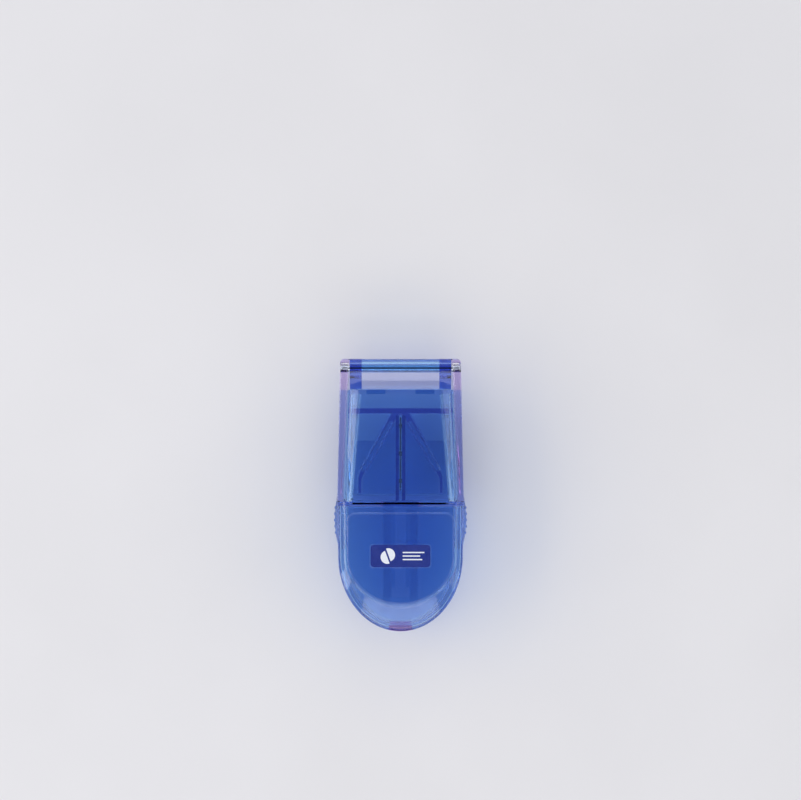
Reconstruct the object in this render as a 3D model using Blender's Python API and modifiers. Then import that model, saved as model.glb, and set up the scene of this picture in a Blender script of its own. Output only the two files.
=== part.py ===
"""Pill splitter: a clear plastic base with a V-shaped pill holder, a storage drawer and a hinged lid that
carries the blade. Metres, +Z up, hinge end at +Y, rounded storage end at -Y, origin on the table under the
middle of the body."""

import math

import bmesh
import bpy
from mathutils import Vector

MM = 0.001

# Overall size
BODY_LENGTH = 78 * MM
HINGE_END_HALF_WIDTH = 17.2 * MM
WAIST_HALF_WIDTH = 18.0 * MM
NOSE_HALF_WIDTH = 17.8 * MM
NOSE_LENGTH = 21.6 * MM
CORNER_RADIUS = 1.2 * MM

# Clearances
GAP = 0.3 * MM
PIN_GAP = 0.2 * MM

# Base
FLOOR = 1.8 * MM
HINGE_END_WALL = 2.4 * MM
WAIST_WALL = 1.5 * MM
REAR_WALL = 1.8 * MM
REAR_WALL_ROOM = 0.5 * MM
PARTITION = 1.2 * MM
JOINT_FROM_CENTRE = 1.6 * MM
BAY_CORNER = 3.3 * MM
SEAT_RIB = 0.8 * MM

# Hinge
HINGE_FROM_END = 2.7 * MM
HINGE_HEIGHT = 14.8 * MM
BARREL_RADIUS = 2.7 * MM
BARREL_WALL = 1.3 * MM
KNUCKLE_LENGTH = 3.4 * MM
KNUCKLE_ARC_END = -165
PIN_RADIUS = 1.0 * MM
PIN_RECESS = 0.5 * MM

# Drawer and the rail it runs on
DRAWER_RIM = 9.5 * MM
DRAWER_WALL = 1.5 * MM
DRAWER_FLOOR = 1.2 * MM
RAIL_START = 3.0 * MM
RAIL_SETBACK = 9.1 * MM
RAIL_STEM_HALF_WIDTH = 1.6 * MM
RAIL_STEM_HEIGHT = 1.4 * MM
RAIL_HEAD_HALF_WIDTH = 4.8 * MM
RAIL_HEAD = 1.0 * MM
RUNNER = 1.0 * MM
RUNNER_LIP = 0.8 * MM
STOP_LENGTH = 3.0 * MM
STOP_REACH = 1.0 * MM
LEDGE_HALF_WIDTH = 3.0 * MM
LEDGE_THICKNESS = 2.3 * MM
LEDGE_INSET = 0.15 * MM
LEDGE_DROP = 0.4 * MM

# Finger grips on both sides of the joint
GRIP_REAR = 0.7 * MM
GRIP_LENGTH = 16.1 * MM
GRIP_SWELL = 1.0 * MM
GRIP_FOOT = 3.3 * MM
GRIP_HEAD = 12.4 * MM
GRIP_FADE = 1.2 * MM
GRIP_RIBS = 5
GRIP_RIB_PITCH = 1.8 * MM
GRIP_RIB_RADIUS = 0.45 * MM
GRIP_RIB_PROUD = 0.25 * MM

# Pill holder
PLATFORM_TOP = 5.6 * MM
PLATFORM = 1.3 * MM
PLATFORM_LENGTH = 15.5 * MM
ARM_HEIGHT = 5.9 * MM
CROSSWALL = 1.7 * MM
CROSSWALL_FROM_STEP = 5.2 * MM
V_MOUTH_HALF_WIDTH = 10.8 * MM
CHEEK_LENGTH = 4.6 * MM
ARM = 2.4 * MM
ARM_GROOVE = 0.8 * MM
ARM_GROOVE_DEPTH = 4.0 * MM
CHEEK_ARM = 1.8 * MM
BLADE_SLOT = 1.5 * MM

# Lid
ROOF = 1.5 * MM
LID_WALL = 1.7 * MM
SKIRT = 1.3 * MM
SKIRT_DEPTH = 3.0 * MM
ROOF_RISE = 1.8 * MM
ROOF_FROM_HINGE = 6.2 * MM
SLOPE_AT_STEP = 3.2 * MM
SLOPE_AT_JOINT = 1.9 * MM
STEP_WALL = 1.2 * MM
DECK_TILT = math.radians(20)
COVER_SUNK = 0.1 * MM
WINDOW_LENGTH = 5.4 * MM
WINDOW_HEIGHT = 1.2 * MM
WINDOW_SILL = 0.5 * MM
WINDOW_OFFSET = 7.0 * MM
NOSE_RIM_DROP = 1.5 * MM
NOSE_SIDE_SLOPE = 2.2 * MM
NOSE_FRONT_SLOPE = 7.7 * MM
NOTCH_HALF_WIDTH = 3.3 * MM
NOTCH_HEIGHT = 3.3 * MM
JOINT_RIB = 1.2 * MM
RIB_LAP = 0.1 * MM
PANEL_SETBACK = 2.85 * MM
PANEL_MARGIN = 0.35 * MM
PANEL_CORNER = 2.3 * MM
PANEL_RISE = 1.2 * MM
PANEL_FALL = 1.1 * MM
PANEL_EDGE = 0.5 * MM

# Blade and its holder
BLADE_THICKNESS = 0.5 * MM
BLADE_FRONT_ROOM = 2.0 * MM
BLADE_REAR_ROOM = 1.0 * MM
BLADE_DIP = 1.2 * MM
BLADE_HEADROOM = 1.4 * MM
BLADE_BEVEL = 1.3 * MM
BLADE_HOLDER_WIDTH = 2.75 * MM
BLADE_HOLDER_REAR_ROOM = 0.4 * MM
BLADE_HOLDER_ROOM = 0.5 * MM
BLADE_HOLDER_TAPER = 2.0 * MM
BLADE_PIN_RADIUS = 0.6 * MM
BLADE_PIN_INSET = 2.4 * MM
BLADE_PIN_RISE = 2.4 * MM

# Label
LABEL_WIDTH = 17.0 * MM
LABEL_LENGTH = 6.4 * MM
LABEL_SETBACK = 15.2 * MM
LABEL_THICKNESS = 0.3 * MM
LABEL_RECESS = 0.35 * MM
LABEL_CORNER = 1.0 * MM

# Worked out from the sizes above: plan
REAR = BODY_LENGTH / 2
FRONT = -BODY_LENGTH / 2
NOSE_CENTRE = FRONT + NOSE_LENGTH
JOINT = -JOINT_FROM_CENTRE
NOSE_START = JOINT - GAP
HINGE_Y = REAR - HINGE_FROM_END
ROOF_REAR = HINGE_Y - ROOF_FROM_HINGE
CROSSWALL_REAR = ROOF_REAR - CROSSWALL_FROM_STEP
V_APEX = CROSSWALL_REAR - CROSSWALL
HOLDER_FRONT = JOINT + PARTITION + GAP
V_MOUTH = HOLDER_FRONT + CHEEK_LENGTH
V_HALF_ANGLE = math.atan(V_MOUTH_HALF_WIDTH / (V_APEX - V_MOUTH))
ARM_ACROSS = ARM / math.cos(V_HALF_ANGLE)
RAIL_REAR = NOSE_START - RAIL_START
RAIL_FRONT = FRONT + RAIL_SETBACK
EAR_INNER = HINGE_END_HALF_WIDTH - HINGE_END_WALL
LID_REAR_HALF_WIDTH = EAR_INNER - GAP
NOSE_ROOF_HALF_WIDTH = NOSE_HALF_WIDTH - NOSE_SIDE_SLOPE
NOSE_ROOF_LENGTH = NOSE_LENGTH - NOSE_FRONT_SLOPE
PANEL_REAR = NOSE_START - PANEL_SETBACK
PANEL_HALF_WIDTH = NOSE_ROOF_HALF_WIDTH - PANEL_MARGIN
PANEL_NOSE_LENGTH = NOSE_ROOF_LENGTH - PANEL_MARGIN
PANEL_SLOPE = PANEL_FALL / (PANEL_REAR - NOSE_CENTRE + PANEL_NOSE_LENGTH)
LABEL_CENTRE = NOSE_START - LABEL_SETBACK
BLADE_FRONT = JOINT + PARTITION + BLADE_FRONT_ROOM
BLADE_REAR = V_APEX - BLADE_REAR_ROOM
BLADE_HOLDER_FRONT = NOSE_START + RIB_LAP + GAP
BLADE_HOLDER_REAR = V_APEX - BLADE_HOLDER_REAR_ROOM
BLADE_PINS = {
    "front": BLADE_FRONT + BLADE_PIN_INSET,
    "middle": (BLADE_FRONT + BLADE_REAR) / 2,
    "rear": BLADE_REAR - BLADE_PIN_INSET,
}

# Worked out from the sizes above: heights
WALL_TOP = HINGE_HEIGHT + BARREL_RADIUS
REAR_WALL_TOP = HINGE_HEIGHT - BARREL_RADIUS - REAR_WALL_ROOM
ROOF_TOP = WALL_TOP + ROOF_RISE
ROOF_BOTTOM = ROOF_TOP - ROOF
SKIRT_BOTTOM = WALL_TOP - SKIRT_DEPTH
NOSE_RIM = WALL_TOP - NOSE_RIM_DROP
PANEL_TOP = ROOF_TOP + PANEL_RISE
RAIL_TOP = FLOOR + RAIL_STEM_HEIGHT + RAIL_HEAD
DRAWER_FLOOR_TOP = RAIL_TOP + GAP + DRAWER_FLOOR
LID_BOTTOM = DRAWER_RIM + GAP
HOLDER_TOP = PLATFORM_TOP + ARM_HEIGHT
BLADE_EDGE = PLATFORM_TOP - BLADE_DIP
BLADE_TOP = ROOF_BOTTOM - BLADE_HEADROOM
BLADE_HOLDER_BOTTOM = HOLDER_TOP + BLADE_HOLDER_ROOM
BLADE_PIN_HEIGHT = BLADE_HOLDER_BOTTOM + BLADE_PIN_RISE

NOSE_SEGMENTS = 24
GRIP_SEGMENTS = 8
CORNER_SEGMENTS = 4
ROUND_SEGMENTS = 24


# ---------------------------------------------------------------- scene, collections and materials
def clear_scene():
    for old in list(bpy.data.objects):
        bpy.data.objects.remove(old, do_unlink=True)


def new_collection(name):
    collection = bpy.data.collections.new(name)
    bpy.context.scene.collection.children.link(collection)
    return collection


def new_material(name, colour, roughness, metallic=0.0, alpha=1.0):
    material = bpy.data.materials.new(name)
    material.use_nodes = True
    shader = material.node_tree.nodes["Principled BSDF"]
    shader.inputs["Base Color"].default_value = (*colour, 1)
    shader.inputs["Roughness"].default_value = roughness
    shader.inputs["Metallic"].default_value = metallic
    shader.inputs["Alpha"].default_value = alpha
    return material


# ---------------------------------------------------------------- shapes
def new_piece(name, mesh, collection):
    piece = bpy.data.objects.new(name, mesh)
    collection.objects.link(piece)
    if collection is cutters:
        piece.hide_render = True
        piece.display_type = "WIRE"
    return piece


def loft(name, loops, collection):
    """A closed solid through loops that hold the same number of points, bottom to top."""
    mesh = bpy.data.meshes.new(name)
    solid = bmesh.new()
    rings = [[solid.verts.new(point) for point in loop] for loop in loops]
    count = len(loops[0])
    sides = []
    for low, high in zip(rings, rings[1:]):
        for i in range(count):
            j = (i + 1) % count
            sides.append(solid.faces.new((low[i], low[j], high[j], high[i])))
    solid.faces.new(rings[0])
    solid.faces.new(rings[-1])
    bmesh.ops.triangulate(solid, faces=sides)
    bmesh.ops.recalc_face_normals(solid, faces=solid.faces)
    solid.to_mesh(mesh)
    solid.free()
    return new_piece(name, mesh, collection)


def slab(name, outline, low, high, collection, along="Z"):
    """A flat outline between two levels: (x, y) points stand up along Z, (y, z) points run along X."""
    curve = bpy.data.curves.new(name, "CURVE")
    curve.dimensions = "2D"
    curve.fill_mode = "BOTH"
    curve.extrude = (high - low) / 2
    spline = curve.splines.new("POLY")
    spline.points.add(len(outline) - 1)
    for point, (u, v) in zip(spline.points, outline):
        point.co = (u, v, 0, 1)
    spline.use_cyclic_u = True
    sketch = bpy.data.objects.new(name, curve)
    bpy.context.scene.collection.objects.link(sketch)
    middle = (low + high) / 2
    if along == "X":
        sketch.rotation_euler = (math.pi / 2, 0, math.pi / 2)
        sketch.location = (middle, 0, 0)
    else:
        sketch.location = (0, 0, middle)
    bpy.context.view_layer.update()
    placed = sketch.matrix_world.copy()
    depsgraph = bpy.context.evaluated_depsgraph_get()
    mesh = bpy.data.meshes.new_from_object(sketch.evaluated_get(depsgraph))
    bpy.data.objects.remove(sketch)
    solid = bmesh.new()
    solid.from_mesh(mesh)
    bmesh.ops.remove_doubles(solid, verts=solid.verts, dist=0.001 * MM)
    bmesh.ops.dissolve_limit(solid, angle_limit=0.001, verts=solid.verts, edges=solid.edges)
    bmesh.ops.recalc_face_normals(solid, faces=solid.faces)
    solid.to_mesh(mesh)
    solid.free()
    piece = new_piece(name, mesh, collection)
    piece.matrix_world = placed
    return piece


def box(name, x_range, y_range, z_range, collection):
    mesh = bpy.data.meshes.new(name)
    solid = bmesh.new()
    bmesh.ops.create_cube(solid, size=1)
    sizes = Vector([high - low for low, high in (x_range, y_range, z_range)])
    bmesh.ops.scale(solid, vec=sizes, verts=solid.verts)
    solid.to_mesh(mesh)
    solid.free()
    piece = new_piece(name, mesh, collection)
    piece.location = [(low + high) / 2 for low, high in (x_range, y_range, z_range)]
    return piece


def rod(name, radius, start, length, along, collection, segments=ROUND_SEGMENTS):
    """A round bar from start, along X or up Z."""
    mesh = bpy.data.meshes.new(name)
    solid = bmesh.new()
    bmesh.ops.create_cone(
        solid, cap_ends=True, segments=segments, radius1=radius, radius2=radius, depth=length
    )
    solid.to_mesh(mesh)
    solid.free()
    piece = new_piece(name, mesh, collection)
    if along == "X":
        piece.rotation_euler = (0, math.pi / 2, 0)
        piece.location = (start[0] + length / 2, start[1], start[2])
    else:
        piece.location = (start[0], start[1], start[2] + length / 2)
    return piece


def combine(piece, other, operation):
    change = piece.modifiers.new(f"{operation.lower()} {other.name}", "BOOLEAN")
    change.operation = operation
    change.object = other


def cut(piece, other):
    combine(piece, other, "DIFFERENCE")


def join(piece, other):
    combine(piece, other, "UNION")


def finish(piece, material, bevel=0.0):
    """Gives a piece its material, and rounds its sharp edges where it has a bevel."""
    piece.data.materials.append(material)
    if bevel:
        rounding = piece.modifiers.new("rounded edges", "BEVEL")
        rounding.width = bevel
        rounding.segments = 2
        rounding.limit_method = "ANGLE"
        rounding.angle_limit = math.radians(50)
    piece.data.shade_smooth()
    piece.data.set_sharp_from_angle(angle=math.radians(35))
    return piece


# ---------------------------------------------------------------- the body's outline
def between(low, high, share):
    return low + (high - low) * share


def arc(centre, radius, start, end, segments):
    """Points of a circular arc, with its angles in degrees."""
    steps = [math.radians(between(start, end, i / segments)) for i in range(segments + 1)]
    return [(centre[0] + radius * math.cos(a), centre[1] + radius * math.sin(a)) for a in steps]


def grip_share(height):
    """How far the finger grip stands out at a height, from 0 to 1."""
    rising = (height - GRIP_FOOT + GRIP_FADE) / GRIP_FADE
    falling = (GRIP_HEAD + GRIP_FADE - height) / GRIP_FADE
    return max(0.0, min(1.0, rising, falling))


def side(y):
    """The body's half-width without the grips."""
    if y >= 0:
        return between(WAIST_HALF_WIDTH, HINGE_END_HALF_WIDTH, y / REAR)
    return between(WAIST_HALF_WIDTH, NOSE_HALF_WIDTH, y / NOSE_CENTRE)


def grip(y):
    """The extra half-width of the finger grip, a shallow arc."""
    half = GRIP_LENGTH / 2
    from_middle = y - (GRIP_REAR - half)
    if abs(from_middle) >= half:
        return 0.0
    radius = (half**2 + GRIP_SWELL**2) / (2 * GRIP_SWELL)
    return math.sqrt(radius**2 - from_middle**2) - radius + GRIP_SWELL


def inner_side(y):
    """Half-width of the space between the raised side walls."""
    share = (REAR - y) / (REAR - JOINT)
    wall = between(HINGE_END_WALL, WAIST_WALL, share)
    return side(y) - wall


def nose_outline(inset, height, start=NOSE_START, swell=1.0):
    """The rounded storage end in plan, from the joint round the front and back to the joint."""
    swell *= grip_share(height)
    right = []
    for i in range(GRIP_SEGMENTS):
        y = between(start, NOSE_CENTRE, i / GRIP_SEGMENTS)
        right.append((side(y) + swell * grip(y) - inset, y))
    for i in range(NOSE_SEGMENTS // 2):
        angle = math.pi / 2 * i / (NOSE_SEGMENTS // 2)
        y = NOSE_CENTRE - (NOSE_LENGTH - inset) * math.sin(angle)
        right.append(((NOSE_HALF_WIDTH - inset) * math.cos(angle) + swell * grip(y), y))
    tip = [(0.0, FRONT + inset)]
    left = [(-x, y) for x, y in reversed(right)]
    return right + tip + left


def body_outline(height):
    """The whole base in plan, with small rounded corners at the hinge end."""
    centre = (HINGE_END_HALF_WIDTH - CORNER_RADIUS, REAR - CORNER_RADIUS)
    corner = arc(centre, CORNER_RADIUS, 90, 0, CORNER_SEGMENTS)
    waist = [(side(GRIP_REAR), GRIP_REAR)]
    steps = [between(GRIP_REAR, JOINT, i / 3) for i in (1, 2, 3)]
    waist += [(side(y) + grip_share(height) * grip(y), y) for y in steps]
    half = corner + waist
    return half + nose_outline(0, height) + [(-x, y) for x, y in reversed(half)]


def at_height(outline, height):
    return [Vector((x, y, height)) for x, y in outline]


# ---------------------------------------------------------------- base
def drawer_bay():
    """Everything in front of the joint and above the floor, round in its lower rear corner."""
    outside = FRONT * 2
    lid_clear = ROOF_TOP * 2
    corner = arc((JOINT - BAY_CORNER, FLOOR + BAY_CORNER), BAY_CORNER, 0, -90, CORNER_SEGMENTS + 2)
    profile = [(outside, lid_clear), (JOINT, lid_clear), *corner, (outside, FLOOR)]
    width = 2 * WAIST_HALF_WIDTH
    return slab("drawer bay", profile, -width, width, cutters, along="X")


def rear_space():
    """The open space between the raised side walls, above the floor."""
    front = JOINT + PARTITION
    rear = REAR - REAR_WALL
    outline = [
        (inner_side(front), front),
        (inner_side(rear), rear),
        (-inner_side(rear), rear),
        (-inner_side(front), front),
    ]
    return slab("rear space", outline, FLOOR, ROOF_TOP * 2, cutters)


def ear_tops():
    """What is cut off to round the ears about the hinge."""
    above = WALL_TOP + 2 * MM
    behind = REAR + 2 * MM
    round_top = arc((HINGE_Y, HINGE_HEIGHT), WALL_TOP - HINGE_HEIGHT, 90, 0, 8)
    profile = [(HINGE_Y, above), *round_top, (behind, HINGE_HEIGHT), (behind, above)]
    width = 2 * WAIST_HALF_WIDTH
    return slab("ear tops", profile, -width, width, cutters, along="X")


def rail():
    """The T-shaped rail under the drawer, with a wider stop at its front end."""
    start = RAIL_REAR
    end = RAIL_FRONT
    stem_top = FLOOR + RAIL_STEM_HEIGHT
    sunk = FLOOR / 2
    stem = box(
        "rail stem",
        (-RAIL_STEM_HALF_WIDTH, RAIL_STEM_HALF_WIDTH),
        (end, start),
        (sunk, stem_top + RAIL_HEAD / 2),
        cutters,
    )
    stop_half = RAIL_STEM_HALF_WIDTH + STOP_REACH
    stop = box(
        "rail stop",
        (-stop_half, stop_half),
        (end, end + STOP_LENGTH),
        (sunk, stem_top + RAIL_HEAD / 2),
        cutters,
    )
    head = box(
        "rail head",
        (-RAIL_HEAD_HALF_WIDTH, RAIL_HEAD_HALF_WIDTH),
        (end, start),
        (stem_top, RAIL_TOP),
        cutters,
    )
    return stem, stop, head


def seat_ribs():
    """Pairs of short ribs on the side walls that hold the ends of the holder's cross wall."""
    ribs = []
    middle = CROSSWALL_REAR - CROSSWALL / 2
    for sign, hand in ((-1, "left"), (1, "right")):
        for place in (-1, 1):
            y = middle + place * (CROSSWALL / 2 + GAP + SEAT_RIB / 2)
            outer = inner_side(y) + WAIST_WALL / 2
            ends = sorted((sign * outer, sign * (inner_side(y) - SEAT_RIB)))
            reach = (y - SEAT_RIB / 2, y + SEAT_RIB / 2)
            ribs.append(box(f"seat rib {hand} {place}", ends, reach, (FLOOR / 2, HOLDER_TOP), cutters))
    return ribs


def make_base():
    heights = (0, FLOOR, GRIP_FOOT, GRIP_HEAD, GRIP_HEAD + GRIP_FADE, WALL_TOP)
    base = loft("base_shell", [at_height(body_outline(z), z) for z in heights], parts)
    cut(base, rear_space())
    cut(base, drawer_bay())
    cut(base, ear_tops())
    rear_notch = box(
        "rear notch", (-EAR_INNER, EAR_INNER), (REAR - 3 * REAR_WALL, REAR + MM),
        (REAR_WALL_TOP, ROOF_TOP), cutters,
    )
    cut(base, rear_notch)
    half = inner_side(JOINT)
    over_partition = box(
        "over partition", (-half, half), (JOINT - MM, JOINT + 2 * PARTITION),
        (DRAWER_RIM, ROOF_TOP), cutters,
    )
    cut(base, over_partition)
    bore = rod(
        "base hinge bore", PIN_RADIUS + PIN_GAP, (-2 * WAIST_HALF_WIDTH, HINGE_Y, HINGE_HEIGHT),
        4 * WAIST_HALF_WIDTH, "X", cutters,
    )
    cut(base, bore)
    for piece in (*rail(), *seat_ribs()):
        join(base, piece)
    return finish(base, blue_plastic)


# ---------------------------------------------------------------- pill holder
def v_half_width(y):
    """Half-width between the V's faces, which start from the cross wall."""
    return (V_APEX - y) * math.tan(V_HALF_ANGLE)


def make_pill_holder():
    front = HOLDER_FRONT
    shoulder = front + PLATFORM_LENGTH
    apex = V_APEX
    mouth = V_MOUTH

    def at_wall(y):
        return inner_side(y) - GAP

    half = [
        (at_wall(front), front),
        (at_wall(shoulder), shoulder),
        (v_half_width(shoulder) + ARM_ACROSS, shoulder),
        (v_half_width(apex) + ARM_ACROSS, apex + CROSSWALL / 2),
    ]
    platform = half + [(-x, y) for x, y in reversed(half)]
    holder = slab("pill_holder", platform, FLOOR + GAP, PLATFORM_TOP, parts)

    inside = [
        (at_wall(front) - PLATFORM, front + PLATFORM),
        (at_wall(shoulder) - PLATFORM, shoulder - PLATFORM),
        (-at_wall(shoulder) + PLATFORM, shoulder - PLATFORM),
        (-at_wall(front) + PLATFORM, front + PLATFORM),
    ]
    cut(holder, slab("under platform", inside, 0, PLATFORM_TOP - PLATFORM, cutters))

    cross_half = at_wall(CROSSWALL_REAR)
    cross = box(
        "cross wall", (-cross_half, cross_half), (apex, CROSSWALL_REAR),
        (FLOOR + GAP, HOLDER_TOP), cutters,
    )
    join(holder, cross)

    low = PLATFORM_TOP - PLATFORM / 2
    for sign, hand in ((-1, "left"), (1, "right")):
        inner_edge = V_MOUTH_HALF_WIDTH
        arm = [
            (0.0, apex),
            (inner_edge, mouth),
            (inner_edge, front),
            (inner_edge + CHEEK_ARM, front),
            (inner_edge + CHEEK_ARM, mouth + ARM / 2),
            (v_half_width(apex) + ARM_ACROSS, apex + CROSSWALL / 2),
            (0.0, apex + CROSSWALL / 2),
        ]
        arm = [(sign * x, y) for x, y in arm]
        join(holder, slab(f"arm {hand}", arm, low, HOLDER_TOP, cutters))
        core_start = (ARM_ACROSS - ARM_GROOVE / math.cos(V_HALF_ANGLE)) / 2
        core_wide = ARM_GROOVE / math.cos(V_HALF_ANGLE)
        top = apex - ARM
        bottom = mouth + ARM
        core = [
            (v_half_width(top) + core_start, top),
            (v_half_width(bottom) + core_start, bottom),
            (v_half_width(bottom) + core_start + core_wide, bottom),
            (v_half_width(top) + core_start + core_wide, top),
        ]
        core = [(sign * x, y) for x, y in core]
        groove = slab(
            f"arm groove {hand}", core, HOLDER_TOP - ARM_GROOVE_DEPTH, HOLDER_TOP + MM, cutters
        )
        cut(holder, groove)

    slot_half = BLADE_SLOT / 2
    slot = box(
        "blade slot", (-slot_half, slot_half), (BLADE_FRONT - 2 * GAP, BLADE_REAR + 2 * GAP),
        (0, ROOF_TOP), cutters,
    )
    cut(holder, slot)
    return finish(holder, holder_plastic)


# ---------------------------------------------------------------- drawer
def make_drawer():
    bottom = FLOOR + GAP
    heights = (bottom, GRIP_FOOT, DRAWER_RIM)
    drawer = loft(
        "storage_drawer", [at_height(nose_outline(0, z), z) for z in heights], parts
    )
    store_start = NOSE_START - DRAWER_WALL
    store = nose_outline(DRAWER_WALL, 0, start=store_start)
    cut(drawer, slab("drawer store", store, DRAWER_FLOOR_TOP, ROOF_TOP, cutters))
    under = nose_outline(DRAWER_WALL, 0, start=store_start - BAY_CORNER)
    cut(drawer, slab("under drawer", under, 0, RAIL_TOP + GAP, cutters))

    rail_half = RAIL_HEAD_HALF_WIDTH + GAP
    way = box(
        "rail way", (-rail_half, rail_half), (NOSE_START - 3 * BAY_CORNER, NOSE_START + MM),
        (0, RAIL_TOP + GAP), cutters,
    )
    cut(drawer, way)

    runner_start = NOSE_START - DRAWER_WALL / 2
    runner_end = FRONT + 3 * DRAWER_WALL
    stop_end = runner_start - STOP_LENGTH
    lip_inner = RAIL_STEM_HALF_WIDTH + STOP_REACH + GAP
    lip_stop = RAIL_STEM_HALF_WIDTH + GAP
    lip_outer = rail_half + RUNNER / 2
    for sign, hand in ((-1, "left"), (1, "right")):
        lip = [
            (lip_outer, runner_start),
            (lip_stop, runner_start),
            (lip_stop, stop_end),
            (lip_inner, stop_end),
            (lip_inner, runner_end),
            (lip_outer, runner_end),
        ]
        lip = [(sign * x, y) for x, y in lip]
        join(drawer, slab(f"runner lip {hand}", lip, bottom, bottom + RUNNER_LIP, cutters))
        runner = box(
            f"runner {hand}", sorted((sign * rail_half, sign * (rail_half + RUNNER))),
            (runner_end + GAP, runner_start - GAP), (bottom + RUNNER_LIP / 2, RAIL_TOP + 2 * GAP),
            cutters,
        )
        join(drawer, runner)
    for piece in grip_ribs("drawer", bottom + GRIP_FADE, DRAWER_RIM - GAP):
        join(drawer, piece)
    ledge = front_patch(LEDGE_HALF_WIDTH, LEDGE_INSET, LEDGE_THICKNESS)
    low = DRAWER_FLOOR_TOP - DRAWER_FLOOR / 2
    join(drawer, slab("front ledge", ledge, low, DRAWER_RIM - LEDGE_DROP, cutters))

    radius = BAY_CORNER - GAP
    round_rear = arc((NOSE_START - radius, bottom + radius), radius, 0, -90, CORNER_SEGMENTS + 2)
    outside = NOSE_START + MM
    below = bottom - MM
    profile = [*round_rear, (NOSE_START - radius, below), (outside, below), (outside, bottom + radius)]
    width = 2 * WAIST_HALF_WIDTH
    cut(drawer, slab("drawer rear edge", profile, -width, width, cutters, along="X"))
    return finish(drawer, blue_plastic)


def front_patch(half, outer, inner):
    """The middle of the front wall in plan, between two depths from its outer face."""
    steps = [between(-half, half, i / 4) for i in range(5)]

    def front_at(x, inset):
        share = x / (NOSE_HALF_WIDTH - inset)
        return NOSE_CENTRE - (NOSE_LENGTH - inset) * math.sqrt(1 - share**2)

    near = [(x, front_at(x, outer)) for x in steps]
    far = [(x, front_at(x, inner)) for x in reversed(steps)]
    return near + far


def grip_ribs(owner, low, high):
    """Upright ribs on both finger grips, centred on the widest place."""
    ribs = []
    middle = GRIP_REAR - GRIP_LENGTH / 2
    for i in range(GRIP_RIBS):
        y = middle + (i - (GRIP_RIBS - 1) / 2) * GRIP_RIB_PITCH
        x = side(y) + grip(y) + GRIP_RIB_PROUD - GRIP_RIB_RADIUS
        for sign in (-1, 1):
            ribs.append(
                rod(f"{owner} rib {i} {sign}", GRIP_RIB_RADIUS, (sign * x, y, low), high - low, "Z",
                    cutters, segments=10)
            )
    return ribs


# ---------------------------------------------------------------- lid
def roof_half_width(y):
    """Half-width of the flat roof behind the joint."""
    slope = between(SLOPE_AT_JOINT, SLOPE_AT_STEP, (y - JOINT) / (ROOF_REAR - JOINT))
    return inner_side(y) - GAP - slope


def lid_rear_body(name, inset, low, drop, front, rear):
    """The lid behind the joint: upright skirts, then sloping sides up to the roof."""
    edge = WALL_TOP - drop
    roof = ROOF_TOP - drop
    loops = []
    for height, width in ((low, inner_side), (edge, inner_side), (roof, roof_half_width)):
        gap = GAP if width is inner_side else 0
        near = width(front) - gap - inset
        far = width(rear) - gap - inset
        outline = [(near, front), (far, rear), (-far, rear), (-near, front)]
        loops.append(at_height(outline, height))
    return loft(name, loops, parts if name == "lid_shell" else cutters)


def nose_roof_outline(inset):
    """The flat roof over the storage end, in plan, point for point with nose_outline."""
    points = []
    for x, y in nose_outline(0, 0):
        if y > NOSE_CENTRE:
            points.append((math.copysign(NOSE_ROOF_HALF_WIDTH - inset, x), y))
        else:
            share = (NOSE_CENTRE - y) / NOSE_LENGTH
            points.append(
                (
                    x * (NOSE_ROOF_HALF_WIDTH - inset) / NOSE_HALF_WIDTH,
                    NOSE_CENTRE - (NOSE_ROOF_LENGTH - inset) * share,
                )
            )
    return points


def rim_height(y):
    """Where the lid's upright side ends: level along the sides, lower round the front."""
    share = max(0.0, (NOSE_CENTRE - y) / NOSE_LENGTH)
    return between(WALL_TOP, NOSE_RIM, share**2)


def lid_nose_body(name, inset, drop, start, low):
    """The lid in front of the joint: upright wall, sloping shoulder and flat roof."""
    swell = 1.0 if inset == 0 else 0.0
    heights = [low]
    if inset == 0:
        heights += [GRIP_HEAD, GRIP_HEAD + GRIP_FADE]
    loops = [at_height(nose_outline(inset, z, start=start, swell=swell), z) for z in heights]
    edge = nose_outline(inset, WALL_TOP, start=start, swell=0.0)
    loops.append([Vector((x, y, rim_height(y) - drop)) for x, y in edge])
    roof = nose_roof_outline(inset)
    if inset:
        roof = [(x, min(y, start)) for x, y in roof]
    loops.append(at_height(roof, ROOF_TOP - drop))
    return loft(name, loops, cutters)


def panel_top(y):
    """Height of the raised panel, which falls towards the front."""
    return PANEL_TOP - PANEL_SLOPE * (PANEL_REAR - y)


def panel():
    """The raised panel on the storage end, highest at its rear edge."""
    start = PANEL_REAR
    half = PANEL_HALF_WIDTH
    length = PANEL_NOSE_LENGTH
    right = arc((half - PANEL_CORNER, start - PANEL_CORNER), PANEL_CORNER, 90, 0, 6)
    for i in range(NOSE_SEGMENTS // 2):
        angle = math.pi / 2 * i / (NOSE_SEGMENTS // 2)
        right.append((half * math.cos(angle), NOSE_CENTRE - length * math.sin(angle)))
    outline = right + [(0.0, NOSE_CENTRE - length)] + [(-x, y) for x, y in reversed(right)]
    shrink = 1 - PANEL_EDGE / half
    middle = (start + NOSE_CENTRE - length) / 2
    inner = [(x * shrink, middle + (y - middle) * shrink) for x, y in outline]
    loops = [
        at_height(outline, ROOF_TOP - ROOF / 2),
        [Vector((x, y, panel_top(y) - PANEL_EDGE)) for x, y in outline],
        [Vector((x, y, panel_top(y))) for x, y in inner],
    ]
    return loft("raised panel", loops, cutters)


def deck_height(y, radius=BARREL_RADIUS):
    """Top of the deck, which slopes up from the step to meet a barrel of that radius."""
    rise = (HINGE_Y - y) * math.tan(DECK_TILT)
    return HINGE_HEIGHT + radius / math.cos(DECK_TILT) - rise


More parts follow.
